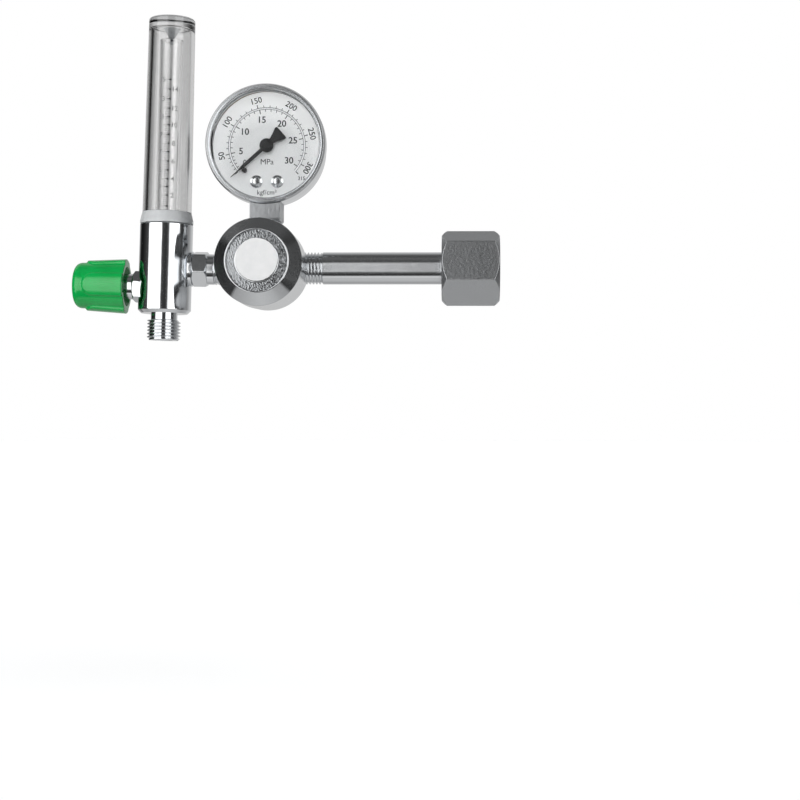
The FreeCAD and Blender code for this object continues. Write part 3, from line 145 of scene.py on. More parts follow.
# Above and below that height, from floor to ceiling: on the camera's side, on the far side,
# and in the plane of the regulator between them
before = stops(tree, above,
               (0.0, "#949494"), (height(-76), "#a9a9a9"), (height(-63), "#a0a0a0"),
               (height(-57), "#222222"), (height(-48), "#252525"), (height(-36), "#414141"),
               (height(-27), "#676767"), (height(34), "#5a5a5a"), (height(41), "#333333"),
               (height(50), "#3a3a3a"), (height(68), "#474747"), (1.0, "#4e4e4e"))
behind = stops(tree, above,
               (0.0, "#949494"), (height(-74), "#8d8d8d"), (height(-48), "#757575"),
               (height(-28), "#808080"), (height(24), "#7a7a7a"), (height(50), "#888888"),
               (height(66), "#595959"), (1.0, "#4e4e4e"))
facing_blend = 0.2
facing = span(tree, ahead, -facing_blend, facing_blend)
layers = add(tree, "ShaderNodeMix", {0: facing, 6: behind, 7: before}, data_type="RGBA").outputs[2]
beside = stops(tree, above,
               (0.0, "#949494"), (height(-60), "#858585"), (height(-46), "#7d7d7d"),
               (height(-41), "#222222"), (height(40), "#222222"), (height(62), "#3a3a3a"),
               (1.0, "#3a3a3a"))
plane_ends = 0.16
sides_start = 0.34
off_plane = span(tree, worked(tree, "ABSOLUTE", ahead), plane_ends, sides_start)
layers = add(tree, "ShaderNodeMix", {0: off_plane, 6: beside, 7: layers}, data_type="RGBA").outputs[2]
band = stops(tree, above,
             (0.0, "#000000"), (height(-30), "#000000"), (height(-25), "#ffffff"),
             (height(27), "#ffffff"), (height(37), "#000000"))
seen = add(tree, "ShaderNodeMix", {0: band, 6: layers, 7: walls}, data_type="RGBA").outputs[2]
ray = add(tree, "ShaderNodeLightPath").outputs
sharp = worked(tree, "MAXIMUM", ray["Is Glossy Ray"], ray["Is Transmission Ray"])
sharp = worked(tree, "MULTIPLY", sharp, worked(tree, "LESS_THAN", ray["Diffuse Depth"], 0.5))
room_light = 2.4
boxes = add(tree, "ShaderNodeBackground", {"Color": seen, "Strength": room_light}).outputs[0]
# Light that reaches a matt surface, which is stronger through a window than the open fill
open_fill = 0.30
window_fill = 3.15
through = span(tree, ray["Is Transmission Ray"], 0.0, 1.0, open_fill, window_fill)
fill = add(tree, "ShaderNodeBackground", {"Color": linear("#f2f4f6"), "Strength": through}).outputs[0]
lit = add(tree, "ShaderNodeMixShader", {0: sharp, 1: fill, 2: boxes}).outputs[0]
white = add(tree, "ShaderNodeBackground", {"Color": (1, 1, 1, 1), "Strength": 1.0}).outputs[0]
shown = add(tree, "ShaderNodeMixShader", {0: ray["Is Camera Ray"], 1: lit, 2: white}).outputs[0]
add(tree, "ShaderNodeOutputWorld", {"Surface": shown})
bpy.context.scene.world = room

# Each lamp: its name, where it stands, how wide it looks in degrees, and its strength
lamps = (("key_soft_light", (-0.5, -0.85, 0.06), 40, 3.0),
         ("top_soft_light", (0.4, -0.6, 0.9), 30, 0.30))
for name, comes_from, spread_deg, strength in lamps:
    lamp_data = bpy.data.lights.new(name, "SUN")
    lamp_data.angle = math.radians(spread_deg)
    lamp_data.energy = strength
    lamp = linked(name, lamp_data)
    lamp.location = Vector(comes_from)
    lamp.rotation_euler = (-Vector(comes_from)).to_track_quat("-Z", "Y").to_euler()
    lamp.visible_glossy = False
    lamp.visible_transmission = False


# Floor. Pale painted board well below the regulator, which is held up by its inlet, so only a
# faint broad shadow reaches it.

def new_material(name, slot=""):
    """A material with an empty node tree, and that tree; slot is the part's own finish it shows."""
    made = bpy.data.materials.new(name)
    made["slot"] = slot
    made.use_nodes = True
    made.node_tree.nodes.clear()
    return made, made.node_tree


floor_half = 4.0
floor_level = -0.19
roller_grain = 0.02

# White paint with a faint grain from the roller, about 20 mm across the board
floor_paint, tree = new_material("floor_white_paint")
grain = {"Scale": 2 * floor_half / roller_grain, "Detail": 3.0}
grain = add(tree, "ShaderNodeTexNoise", grain).outputs["Fac"]
tint = stops(tree, grain, (0.0, "#f4f4f4"), (1.0, "#fafafa"))
board = add(tree, "ShaderNodeBsdfDiffuse", {"Color": tint}).outputs[0]
seen_white = add(tree, "ShaderNodeLightPath").outputs["Is Camera Ray"]
# What the open fill and the lamps leave it short of white
short_of_white = 0.60
glow = worked(tree, "MULTIPLY", seen_white, short_of_white)
clean = add(tree, "ShaderNodeEmission", {"Color": (1, 1, 1, 1), "Strength": glow}).outputs[0]
both = add(tree, "ShaderNodeAddShader", {0: board, 1: clean}).outputs[0]
add(tree, "ShaderNodeOutputMaterial", {"Surface": both})

floor_mesh = bpy.data.meshes.new("floor")
floor_corners = ((-1, -1), (1, -1), (1, 4), (-1, 4))
floor_corners = [(x * floor_half, y * floor_half, floor_level) for x, y in floor_corners]
floor_mesh.from_pydata(floor_corners, [], [(0, 1, 2, 3)])
floor_mesh.materials.append(floor_paint)
floor = linked("floor", floor_mesh)
floor.visible_glossy = False


# Inlet stem. One bar of free-turning brass, turned to a domed nipple, a sealing shoulder and a
# long stem, threaded at its far end, bright nickel and chrome plated. It screws into the body.

UP = Vector((0, 0, 1))
RIGHT = Vector((1, 0, 0))


def laid(origin, axis, turn_deg=0.0):
    """Matrix that lays a piece's own Z along an axis and takes millimetres to metres."""
    spin = Matrix.Rotation(math.radians(turn_deg), 4, "Z")
    aimed = UP.rotation_difference(axis).to_matrix().to_4x4()
    return Matrix.Scale(MM, 4) @ Matrix.Translation(origin) @ aimed @ spin


def rounded(points, steps=5):
    """Outline points, with each corner that has a third value run round an arc of that radius."""
    fine = []
    for index, point in enumerate(points):
        here = Vector(point[:2])
        if len(point) == 2 or point[2] == 0:
            fine.append(here)
            continue
        back = (Vector(points[index - 1][:2]) - here).normalized()
        on = (Vector(points[(index + 1) % len(points)][:2]) - here).normalized()
        half = back.angle(on) / 2
        setback = point[2] / math.tan(half)
        centre = here + (back + on).normalized() * (point[2] / math.sin(half))
        first = here + back * setback - centre
        last = here + on * setback - centre
        sweep = math.atan2(first.cross(last), first.dot(last))
        fine += [centre + Matrix.Rotation(sweep * k / steps, 2) @ first for k in range(steps + 1)]
    return fine


def skinned(columns, place, bands_closed=True):
    """Mesh over columns of (radius, angle, station) points that stand round an axis."""
    bm = bmesh.new()
    grid = []
    poles = {}
    for column in columns:
        line = []
        for row, (radius, angle, station) in enumerate(column):
            if radius < 1e-6:
                if row not in poles:
                    poles[row] = bm.verts.new(place @ Vector((0, 0, station)))
                line.append(poles[row])
            else:
                point = Vector((radius * math.cos(angle), radius * math.sin(angle), station))
                line.append(bm.verts.new(place @ point))
        grid.append(line)
    rows = len(grid[0])
    for index, line in enumerate(grid):
        beside = grid[(index + 1) % len(grid)]
        for row in range(rows if bands_closed else rows - 1):
            after = (row + 1) % rows
            ring = list(dict.fromkeys([line[row], beside[row], beside[after], line[after]]))
            if len(ring) > 2:
                bm.faces.new(ring)
    bmesh.ops.recalc_face_normals(bm, faces=bm.faces)
    return bm


def revolved(points, place, sides=96, steps=5):
    """Mesh turned from (radius, station) points; a third value rounds that corner."""
    outline = rounded(points, steps)
    angles = [2 * math.pi * k / sides for k in range(sides)]
    closed = outline[0].x > 1e-6 or outline[-1].x > 1e-6
    return skinned([[(p.x, angle, p.y) for p in outline] for angle in angles], place, closed)


def placed(name, bm, material, body, *nodes, sharp_deg=35):
    """Makes the mesh a piece on a body, with level shading on its flats and turned faces."""
    mesh = bpy.data.meshes.new(name)
    bm.to_mesh(mesh)
    bm.free()
    mesh.materials.append(material)
    mesh.shade_smooth()
    mesh.set_sharp_from_angle(angle=math.radians(sharp_deg))
    made = linked(name, mesh)
    level = made.modifiers.new("level_shading", "WEIGHTED_NORMAL")
    level.keep_sharp = True
    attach(made, body)
    if nodes:
        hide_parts(*nodes)
    return made


def threaded(start, end, crest, root, pitch, sides=72, per_turn=10):
    """Outer columns of a right-hand thread, its ridges fading into a small chamfer at the end."""
    columns = []
    count = int((end - start) / pitch * per_turn)
    for k in range(sides):
        angle = 2 * math.pi * k / sides
        column = []
        for row in range(count + 1):
            station = start + (end - start) * row / count
            share = (station / pitch - angle / (2 * math.pi)) % 1.0
            rise = min(1.0, max(0.0, 2.6 * (0.5 - abs(share - 0.5)) - 0.15))
            rise = rise * rise * (3 - 2 * rise)
            near_end = min(1.0, (end - station) / 0.9 + 0.05)
            column.append((root + (crest - root) * rise * max(0.0, near_end), angle, station))
        columns.append(column)
    return columns


def noise(tree, grain_mm, detail, low=0.0, high=1.0, where=None):
    """Noise over the piece, with grain of a real size, brought to the span from low to high."""
    if where is None:
        where = add(tree, "ShaderNodeTexCoord").outputs["Object"]
    sockets = {"Vector": where, "Scale": 1 / (grain_mm * MM), "Detail": detail}
    made = add(tree, "ShaderNodeTexNoise", sockets).outputs["Fac"]
    return made if (low, high) == (0.0, 1.0) else span(tree, made, 0.0, 1.0, low, high)


def bump(tree, relief, strength, depth_mm, under=None, **settings):
    """Surface normals of a relief of a real depth, laid over other normals where there are some."""
    sockets = {"Height": relief, "Strength": strength, "Distance": depth_mm * MM}
    if under is not None:
        sockets["Normal"] = under
    return add(tree, "ShaderNodeBump", sockets, **settings).outputs[0]


def surface(tree, **sockets):
    """Ends a material in one principled surface; Base_Color stands for its socket Base Color."""
    sockets = {name.replace("_", " "): value for name, value in sockets.items()}
    shader = add(tree, "ShaderNodeBsdfPrincipled", sockets).outputs[0]
    add(tree, "ShaderNodeOutputMaterial", {"Surface": shader})


# Turned chrome keeps fine tool marks round the bar, about 0.12 mm apart, which draw each
# reflection out along the stem; polishing leaves them shallow
turned_chrome, tree = new_material("turned_brass_bright_chrome", "chromed_brass")
where = add(tree, "ShaderNodeTexCoord").outputs["Object"]
stretch = add(tree, "ShaderNodeMapping", {"Vector": where, "Scale": (1 / 0.12, 0.01, 0.01)}).outputs[0]
marks = bump(tree, noise(tree, 1.0, 1.0, where=stretch), 0.30, 0.04)
across = add(tree, "ShaderNodeTangent", direction_type="RADIAL", axis="X").outputs[0]
surface(tree, Base_Color=linear("#d6d8da"), Metallic=1.0, Roughness=noise(tree, 11.11, 4.0, 0.16, 0.22),
        Normal=marks, Anisotropic=0.9, Anisotropic_Rotation=0.25, Tangent=across)

stem_radius = 6.85
stem_end = 89.0
stem_thread_start = 71.9
stem_thread_root = 6.0
nose_radius = 6.1
shoulder_radius = 9.8
bore_radius = 2.5
filter_recess = 3.5
on_stem = laid(Vector(), RIGHT)
outline = [(bore_radius, -stem_end), (stem_radius - 0.8, -stem_end), (stem_radius - 0.1, -stem_end + 0.8),
           (stem_radius - 0.1, -80.4), (stem_thread_root + 0.1, -80.0, 0.2),
           (stem_thread_root + 0.1, -stem_thread_start, 0.2),
           (stem_radius, -stem_thread_start + 0.7, 0.15), (stem_radius, -15.3, 0.1),
           (shoulder_radius, -15.3, 0.4), (shoulder_radius, -11.3, 0.8), (nose_radius, -11.3),
           (nose_radius, 0.0, 1.2), (4.2, 2.6, 0.8), (filter_recess, 2.6), (filter_recess, -3.8),
           (bore_radius, -3.8)]
placed("stem", revolved(outline, on_stem), turned_chrome, "regulator", "inlet_stem")

# Polished chrome, for what is buffed after turning: the wheel leaves waves about 5 mm long
bright_chrome, tree = new_material("polished_brass_bright_chrome", "chromed_brass")
surface(tree, Base_Color=linear("#dcdee0"), Metallic=1.0, Roughness=noise(tree, 16.67, 4.0, 0.05, 0.11),
        Normal=bump(tree, noise(tree, 5.0, 1.0), 0.12, 0.2))

# The thread that screws into the body, 18 to the inch
inch_thread_pitch = 1.411
ridges = threaded(-80.3, -stem_thread_start + 0.5, stem_radius, stem_thread_root, inch_thread_pitch)
placed("stem_thread", skinned(ridges, on_stem, False), bright_chrome, "regulator", sharp_deg=60)


# Inlet nut. Hexagon brass bar, 1 1/8 inch across flats, bored and tapped, its corners turned
# off at both ends. Blasted before plating, so the chrome is satin, and brighter along edges.

def hexagon_radius(flats, corner_round, angle):
    """Distance from the axis to the side of a hexagon whose corners are a little rounded."""
    from_corner = (angle + math.pi / 6) % (math.pi / 3) - math.pi / 6
    from_flat = angle % (math.pi / 3) - math.pi / 6
    flat = flats / 2 / math.cos(from_flat)
    centre = flats / math.sqrt(3) - corner_round / math.sin(math.pi / 3)
    inside = corner_round ** 2 - (centre * math.sin(from_corner)) ** 2
    if inside <= 0:
        return flat
    return min(flat, centre * math.cos(from_corner) + math.sqrt(inside))


def hexagon_angles(corner_round, flats):
    """Angles for the columns of a hexagon, close together round its corners."""
    corner_span = math.asin(min(0.9, corner_round * 0.6 / (flats / math.sqrt(3))))
    angles = []
    for side in range(6):
        corner = side * math.pi / 3
        angles += [corner + corner_span * k / 3 for k in range(-3, 4)]
        step = (math.pi / 3 - 2 * corner_span) / 14
        angles += [corner + corner_span + step * k for k in range(1, 14)]
    return angles


def hexagon_columns(flats, corner_round, start, end, face_radius, chamfer_deg, edge_round, inner):
    """Columns of a hexagon nut whose corners are turned off by cones, closed by inner points."""
    slope = math.tan(math.radians(chamfer_deg))
    columns = []
    for angle in hexagon_angles(corner_round, flats):
        side = hexagon_radius(flats, corner_round, angle)
        drop = (side - face_radius) * slope
        outline = [(face_radius, start, edge_round * 0.3), (side, start + drop, edge_round),
                   (side, end - drop, edge_round), (face_radius, end, edge_round * 0.3)]
        outline = rounded(outline + list(inner), 4)
        columns.append([(p.x, angle, p.y) for p in outline])
    return columns


# Satin chrome shows its blast grit, about 0.25 mm, and shallow dents of about 1.2 mm
satin_chrome, tree = new_material("blasted_brass_satin_chrome", "satin_chrome")
grit = bump(tree, noise(tree, 0.25, 2.0), 0.25, 0.06)
dents = bump(tree, noise(tree, 1.2, 2.0), 0.30, 0.25, under=grit)
draw_marks = add(tree, "ShaderNodeTangent", direction_type="RADIAL", axis="X").outputs[0]
surface(tree, Base_Color=linear("#babcbe"), Metallic=1.0, Roughness=noise(tree, 14.29, 3.0, 0.36, 0.46),
        Normal=dents, Anisotropic=0.8, Tangent=draw_marks)

nut_flats = 28.575
nut_turn_deg = -90 - 38.6
nut_back = -20.6
nut_mouth = 4.0
nut_bore = [(12.0, nut_mouth), (11.1, nut_mouth - 0.9), (11.1, -15.6), (6.95, -15.6),
            (6.95, nut_back + 0.3), (7.25, nut_back)]
columns = hexagon_columns(nut_flats, 0.9, nut_back, nut_mouth, 13.9, 42.0, 0.35, nut_bore)
on_nut = laid(Vector(), RIGHT, nut_turn_deg)
placed("union_nut", skinned(columns, on_nut), satin_chrome, "nut", "inlet_nut")


# Regulator body and bonnet. Both are turned from brass bar and chrome plated. The bonnet is a
# spring housing screwed over the body's spigot, with a sunk ring left as cast inside a bead.

AHEAD = Vector((0, -1, 0))
body_axis = Vector((-95.7, 0, 0))
on_body = laid(body_axis, AHEAD)

# Chrome over a faced surface: grooves about 0.3 mm apart run round the axis that points to the
# front, so each reflection is drawn out across them
faced_chrome, tree = new_material("faced_brass_bright_chrome", "chromed_brass")
where = add(tree, "ShaderNodeTexCoord").outputs["Object"]
groove = add(tree, "ShaderNodeVectorMath", {0: where, 1: body_axis * MM}, operation="SUBTRACT").outputs[0]
groove = add(tree, "ShaderNodeVectorMath", {0: groove}, operation="LENGTH").outputs["Value"]
groove = add(tree, "ShaderNodeCombineXYZ", {0: groove}).outputs[0]
groove = bump(tree, noise(tree, 0.3, 2.0, where=groove), 0.12, 0.04)
round_marks = add(tree, "ShaderNodeTangent", direction_type="RADIAL", axis="Y").outputs[0]
surface(tree, Base_Color=linear("#d2d4d6"), Metallic=1.0, Roughness=0.13, Normal=groove, Anisotropic=0.85,
        Anisotropic_Rotation=0.25, Tangent=round_marks)


def cells(tree, size_mm):
    """How far each place is from the nearest of the grains or pits, which have a real size."""
    where = add(tree, "ShaderNodeTexCoord").outputs["Object"]
    sockets = {"Vector": where, "Scale": 1 / (size_mm * MM)}
    return add(tree, "ShaderNodeTexVoronoi", sockets).outputs["Distance"]


# Chrome over a sand-cast skin with pits about 0.7 mm across
cast_chrome, tree = new_material("cast_brass_rough_chrome", "satin_chrome")
skin = bump(tree, worked(tree, "ADD", cells(tree, 0.7), noise(tree, 0.8, 2.0)), 0.55, 0.25)
surface(tree, Base_Color=linear("#8e9092"), Metallic=1.0, Roughness=0.15, Normal=skin)

# Radii, and stations from the stem's axis to the front
body_radius = 17.5
body_back = -8.5
spigot_radius = 16.2
bonnet_radius = 18.25
bonnet_back = 9.0
bonnet_front = 35.1
chamber_radius = 13.2
bead_radius = 13.2
cone_start = bonnet_front - (bonnet_radius - bead_radius)
sunk_face = 34.1
plug_room = 9.2
plug_radius = 9.15
plug_back = 32.9
plug_front = 35.2
outline = [(0, body_back), (body_radius - 1.0, body_back, 0.3), (body_radius, body_back + 1.0, 0.3),
           (body_radius, bonnet_back, 0.15), (spigot_radius, bonnet_back), (spigot_radius, 15.0),
           (13.0, 15.0), (13.0, 13.0), (0, 13.0)]
placed("body_shell", revolved(outline, on_body, 128), faced_chrome, "regulator", "regulator_body")
outline = [(spigot_radius, bonnet_back), (bonnet_radius, bonnet_back, 0.35),
           (bonnet_radius, cone_start, 0.8), (bead_radius, bonnet_front, 0.3),
           (bead_radius - 0.5, bonnet_front, 0.2), (bead_radius - 0.6, sunk_face, 0.1),
           (plug_room, sunk_face, 0.1), (plug_room, plug_back), (4.0, plug_back), (4.0, 29.5),
           (chamber_radius, 29.5, 1.5), (chamber_radius, 17.0), (spigot_radius, 17.0)]
placed("bonnet_shell", revolved(outline, on_body, 128), faced_chrome, "regulator", "bonnet")
cast_inner = 9.25
cast_outer = 12.58
outline = [(cast_inner, 34.11), (cast_outer, 34.11), (cast_outer, 34.16), (cast_inner, 34.46)]
placed("bonnet_cast_ring", revolved(outline, on_body, 128), cast_chrome, "regulator")
outline = [(0, plug_back), (plug_radius, plug_back), (plug_radius, plug_front, 0.35), (0, plug_front)]
placed("plug", revolved(outline, on_body, 96), bright_chrome, "regulator", "seal_plug")


def mottled(tree, grain_mm, detail, dark, light):
    """Colour that wanders between two codes over the piece."""
    pattern = noise(tree, grain_mm, detail)
    return stops(tree, pattern, (0.3, dark), (0.7, light))


# Label: thin white polyester with a clear over-film, left plain
label_film, tree = new_material("label_white_polyester", "white_label")
surface(tree, Base_Color=mottled(tree, 3.333, 3.0, "#e8e9e9", "#efefef"), Roughness=0.30, IOR=1.5,
        Coat_Weight=0.4, Coat_Roughness=0.12)
label_rise = 0.35
label_radius = 8.75
outline = [(0, plug_front), (label_radius, plug_front), (label_radius, 35.4, 0.08), (0, 35.4)]
label_place = laid(body_axis + Vector((0, 0, label_rise)), AHEAD)
placed("plain_label", revolved(outline, label_place, 96), label_film, "regulator", "label_disc")


# Parts shut inside the body and bonnet: brass plate, button and nozzle, steel springs, and the
# rubbered diaphragm. They keep their own solids.

def dress(material, *names):
    """Gives solids that stay as they are their finish."""
    for name in names:
        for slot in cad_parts[name].material_slots:
            slot.material = material


# Turned brass, left unplated and a little dull
raw_brass, tree = new_material("turned_brass", "brass")
surface(tree, Base_Color=mottled(tree, 2.0, 4.0, "#c9a24f", "#d8b566"), Metallic=1.0,
        Roughness=noise(tree, 2.0, 4.0, 0.22, 0.36))

# Drawn steel wire and sheet
plain_steel, tree = new_material("drawn_steel", "steel")
surface(tree, Base_Color=linear("#a9acb0"), Metallic=1.0, Roughness=noise(tree, 1.429, 3.0, 0.25, 0.38))

# Nitrile rubber, dusted with talc
black_rubber, tree = new_material("nitrile_rubber", "rubber")
surface(tree, Base_Color=mottled(tree, 1.111, 3.0, "#17181a", "#222326"), Roughness=0.6, IOR=1.52)

dress(raw_brass, "diaphragm_plate", "spring_button", "valve_nozzle", "poppet", "slip_ring", "ball_seat",
      "knob_insert")
dress(plain_steel, "preset_screw", "main_spring", "poppet_spring", "filter_ring")
dress(black_rubber, "diaphragm", "outer_tube_o_ring", "inner_tube_seal", "spindle_o_ring")

# Bronze beads of about 0.3 mm, fused where they touch. The colour darkens from each bead's middle to the
# gaps between beads, which is painted shade in the pores.
sintered, tree = new_material("sintered_bronze", "sintered_bronze")
beads = cells(tree, 0.3)
bronze_and_pore_shade = stops(tree, beads, (0.1, "#b08552"), (0.7, "#4f3a24"))
beads = bump(tree, beads, 0.7, 0.1, invert=True)
surface(tree, Base_Color=bronze_and_pore_shade, Metallic=1.0, Roughness=0.45, Normal=beads)
dress(sintered, "inlet_filter")


# Gauge case, bezel and window. The case is a cup drawn from steel sheet and chromed; the bezel
# is a spun brass ring snapped over it, which holds the acrylic window against a rubber ring.

gauge_height = 52.6
gauge_axis = body_axis + Vector((0, 0, gauge_height))
on_gauge = laid(gauge_axis, AHEAD)
case_radius = 24.3
case_inside = 23.5
case_back = -17.0
case_wall_front = -16.2
case_front = 3.9
outline = [(0, case_back), (case_radius, case_back, 2.4), (case_radius, case_front),
           (case_inside, case_front), (case_inside, case_wall_front, 1.6), (0, case_wall_front)]
placed("case_shell", revolved(outline, on_gauge, 128, 8), bright_chrome, "regulator", "gauge_case")

# Soft chrome over brass that was spun and lightly brushed
bezel_chrome, tree = new_material("spun_brass_soft_chrome", "chromed_brass")
surface(tree, Base_Color=linear("#d6d8da"), Metallic=1.0, Roughness=noise(tree, 16.67, 2.0, 0.13, 0.16))
bezel_radius = 25.65
bezel_mouth = 23.15
bezel_back = -1.0
bezel_front = 8.0
groove_floor = 7.7
outline = [(case_radius, bezel_back), (bezel_radius, bezel_back, 0.3), (bezel_radius, 6.3, 0.2),
           (24.95, bezel_front, 0.12), (24.15, bezel_front, 0.04), (23.95, groove_floor, 0.04),
           (23.75, bezel_front, 0.04), (23.35, bezel_front, 0.12), (bezel_mouth, groove_floor, 0.1),
           (bezel_mouth, 6.6), (case_radius, 6.6)]
placed("bezel_ring", revolved(outline, on_gauge, 160, 8), bezel_chrome, "regulator", "gauge_bezel")

# Silicone rubber, pale grey, under the window's edge
pale_rubber, tree = new_material("silicone_rubber_pale_grey", "rubber")
surface(tree, Base_Color=mottled(tree, 1.111, 3.0, "#c9cbcc", "#d3d5d6"), Roughness=0.55, IOR=1.41)
dress(pale_rubber, "lens_gasket")

# Clear cast acrylic, polished on both faces
clear_window, tree = new_material("acrylic_window", "window")
surface(tree, Base_Color=linear("#fdfdfd"), Roughness=0.02, IOR=1.49, Transmission_Weight=1.0)
outline = [(0, 4.6), (24.2, 4.6), (24.2, 6.55), (0, 6.55)]
placed("window", revolved(outline, on_gauge, 128), clear_window, "regulator", "gauge_lens")


# Dial, its screws, stop pin and pointer. The dial is aluminium sheet in baked white enamel,
# printed in black; the pointer is pressed brass sheet, painted black, on a turned hub.

# Baked enamel, with an orange peel of about 1.2 mm
enamel_and_painted_glow, tree = new_material("dial_white_enamel_and_painted_rim_glow", "white_enamel")
# Painted light: the enamel glows, from nothing 15 mm out to its most 28 mm out from a point 7 mm below the
# dial's middle, so most at the top of its rim. The glow stands in for light that the window's edge pipes
# onto the rim.
where = add(tree, "ShaderNodeTexCoord").outputs["Object"]
painted_rim_glow = (gauge_axis - Vector((0, 0, 7.0))) * MM
painted_rim_glow = add(tree, "ShaderNodeVectorMath", {0: where, 1: painted_rim_glow}, operation="SUBTRACT").outputs[0]
painted_rim_glow = add(tree, "ShaderNodeVectorMath", {0: painted_rim_glow}, operation="LENGTH").outputs["Value"]
painted_rim_glow = span(tree, painted_rim_glow, 15 * MM, 28 * MM, 0.0, 0.42)
# The emission below is the painted glow on the rim, not a lamp
surface(tree, Base_Color=mottled(tree, 1.2, 2.0, "#ebeceb", "#f0f0ef"), Roughness=0.35, IOR=1.5,
        Normal=bump(tree, noise(tree, 1.2, 2.0), 0.05, 0.1),
        Emission_Color=(1, 1, 1, 1), Emission_Strength=painted_rim_glow)
dress(enamel_and_painted_glow, "gauge_dial")

# Stoved black paint, a little dusty
black_paint, tree = new_material("black_stoved_paint", "black_paint")
surface(tree, Base_Color=mottled(tree, 1.25, 3.0, "#121314", "#1c1d1f"), Roughness=0.38, IOR=1.5)

# Printing inks, whose density wanders a little
ink, tree = new_material("dial_black_ink", "black_paint")
surface(tree, Base_Color=mottled(tree, 0.4, 2.0, "#131517", "#26292c"), Roughness=0.5, IOR=1.5)
white_ink, tree = new_material("dial_white_ink", "white_enamel")
surface(tree, Base_Color=mottled(tree, 0.4, 2.0, "#fbfbfb", "#ffffff"), Roughness=0.5, IOR=1.5)

dial_front = 0.6
ink_film = 0.03
scale_zero = -131.5
scale_end = 131.7


def on_dial(x, z, depth=ink_film):
    """Point in metres of a place on the dial's face, x to the right and z up from its centre."""
    return (gauge_axis + Vector((x, dial_front - depth, z))) * MM


def radial(radius, clockwise_deg):
    """Dial coordinates of a point at a clockwise angle from the top."""
    angle = math.radians(clockwise_deg)
    return radius * math.sin(angle), radius * math.cos(angle)


def bar(bm, start, end, width):
    """A printed straight line."""
    along = (Vector(end) - Vector(start)).normalized()
    side = Vector((-along.y, along.x)) * width / 2
    corners = [Vector(start) + side, Vector(start) - side, Vector(end) - side, Vector(end) + side]
    bm.faces.new([bm.verts.new(on_dial(c.x, c.y)) for c in corners])


def arc_band(bm, inner, outer, first_deg, last_deg, lift=ink_film, steps=120):
    """A printed band along an arc."""
    rows = []
    for k in range(steps + 1):
        angle = first_deg + (last_deg - first_deg) * k / steps
        rows.append([bm.verts.new(on_dial(*radial(r, angle), lift)) for r in (inner, outer)])
    for low, high in zip(rows, rows[1:]):
        bm.faces.new([low[0], low[1], high[1], high[0]])


def characters(bm, text, size, bold, fineness, point):
    """Flat characters centred on nought; point gives the metres of a place of theirs in mm."""
    curve = bpy.data.curves.new("characters", "FONT")
    curve.body = text
    curve.size = size
    curve.offset = bold
    curve.resolution_u = fineness
    curve.align_x = "CENTER"
    curve.align_y = "CENTER"
    holder = linked("characters", curve)
    bpy.context.view_layer.update()
    flat = holder.evaluated_get(bpy.context.evaluated_depsgraph_get())
    flat = bpy.data.meshes.new_from_object(flat)
    made = [bm.verts.new(point(v.co.xy)) for v in flat.vertices]
    for polygon in flat.polygons:
        bm.faces.new([made[k] for k in polygon.vertices])
    bpy.data.objects.remove(holder)
    bpy.data.curves.remove(curve)
    bpy.data.meshes.remove(flat)


def lettering(bm, text, size, x, z, turn_deg=0.0, bold=0.0):
    """Printed characters centred on a place of the dial."""
    spin = Matrix.Rotation(-math.radians(turn_deg), 2)
    characters(bm, text, size, bold, 4, lambda place: on_dial(*(spin @ place + Vector((x, z)))))


def along_scale(value, marks):
    """Clockwise angle of a pressure, between the angles at which the dial marks its numbers."""
    for (low, low_deg), (high, high_deg) in zip(marks, marks[1:]):
        if low <= value <= high:
            return low_deg + (high_deg - low_deg) * (value - low) / (high - low)


white_scale = bmesh.new()
arc_band(white_scale, 15.85, 16.5, scale_zero, scale_end, lift=0.02)
placed("scale_band", white_scale, white_ink, "regulator")

# Where the dial marks its numbers: (pressure, clockwise angle) of the kgf/cm² scale outside the
# band and of the MPa scale inside it
outer_marks = [(0, scale_zero), (50, -102.3), (100, -59.0), (150, -13.9), (200, 31.3), (250, 75.0),
               (300, 118.4), (315, scale_end)]
inner_marks = [(0, scale_zero), (5, -101.5), (10, -57.8), (15, -11.8), (20, 33.7), (25, 78.6),
               (30, 123.9)]
wide_mark = 0.36
fine_mark = 0.27
print_work = bmesh.new()
arc_band(print_work, 15.68, 15.86, scale_zero, scale_end)
arc_band(print_work, 16.49, 16.67, scale_zero, scale_end)
for value in list(range(0, 301, 10)) + [315]:
    angle = along_scale(value, outer_marks)
    major = value % 50 == 0 or value == 315
    mark_end = radial(18.2 if major else 17.5, angle)
    bar(print_work, radial(16.6, angle), mark_end, wide_mark if major else fine_mark)
for value in range(0, 31):
    angle = along_scale(value, inner_marks)
    major = value % 5 == 0
    mark_end = radial(14.0 if major else 14.8, angle)
    bar(print_work, radial(15.75, angle), mark_end, wide_mark if major else fine_mark)
for value, angle in outer_marks[1:-1]:
    lettering(print_work, str(value), 3.5, *radial(19.9, angle), turn_deg=angle, bold=0.05)
for value, angle in inner_marks[1:]:
    lettering(print_work, str(value), 3.9, *radial(11.4, angle), bold=0.06)
lettering(print_work, "0", 3.6, *radial(12.0, -127.5), bold=0.02)
lettering(print_work, "315", 2.1, 14.9, -14.0, bold=0.03)
lettering(print_work, "MPa", 3.4, 0.0, -6.9)
lettering(print_work, "kgf/cm²", 2.9, 0.0, -20.0, bold=0.01)
placed("dial_print", print_work, ink, "regulator")

screws_across = 4.5
screws_up = -15.3
outline = [(0, -2.4), (1.0, -2.4), (1.0, -0.6), (2.7, -0.6), (2.7, -0.25, 0.1), (1.75, 0.1, 0.05),
           (1.5, 0.6, 0.3), (0, 0.7)]
for side, name in ((-1, "dial_screw_left"), (1, "dial_screw_right")):
    seat = laid(gauge_axis + Vector((side * screws_across, 0, screws_up)), AHEAD, 35 * side)
    replaced = ("dial_screws",) if side < 0 else ()
    placed(name, revolved(outline, seat, 48), bezel_chrome, "regulator", *replaced)

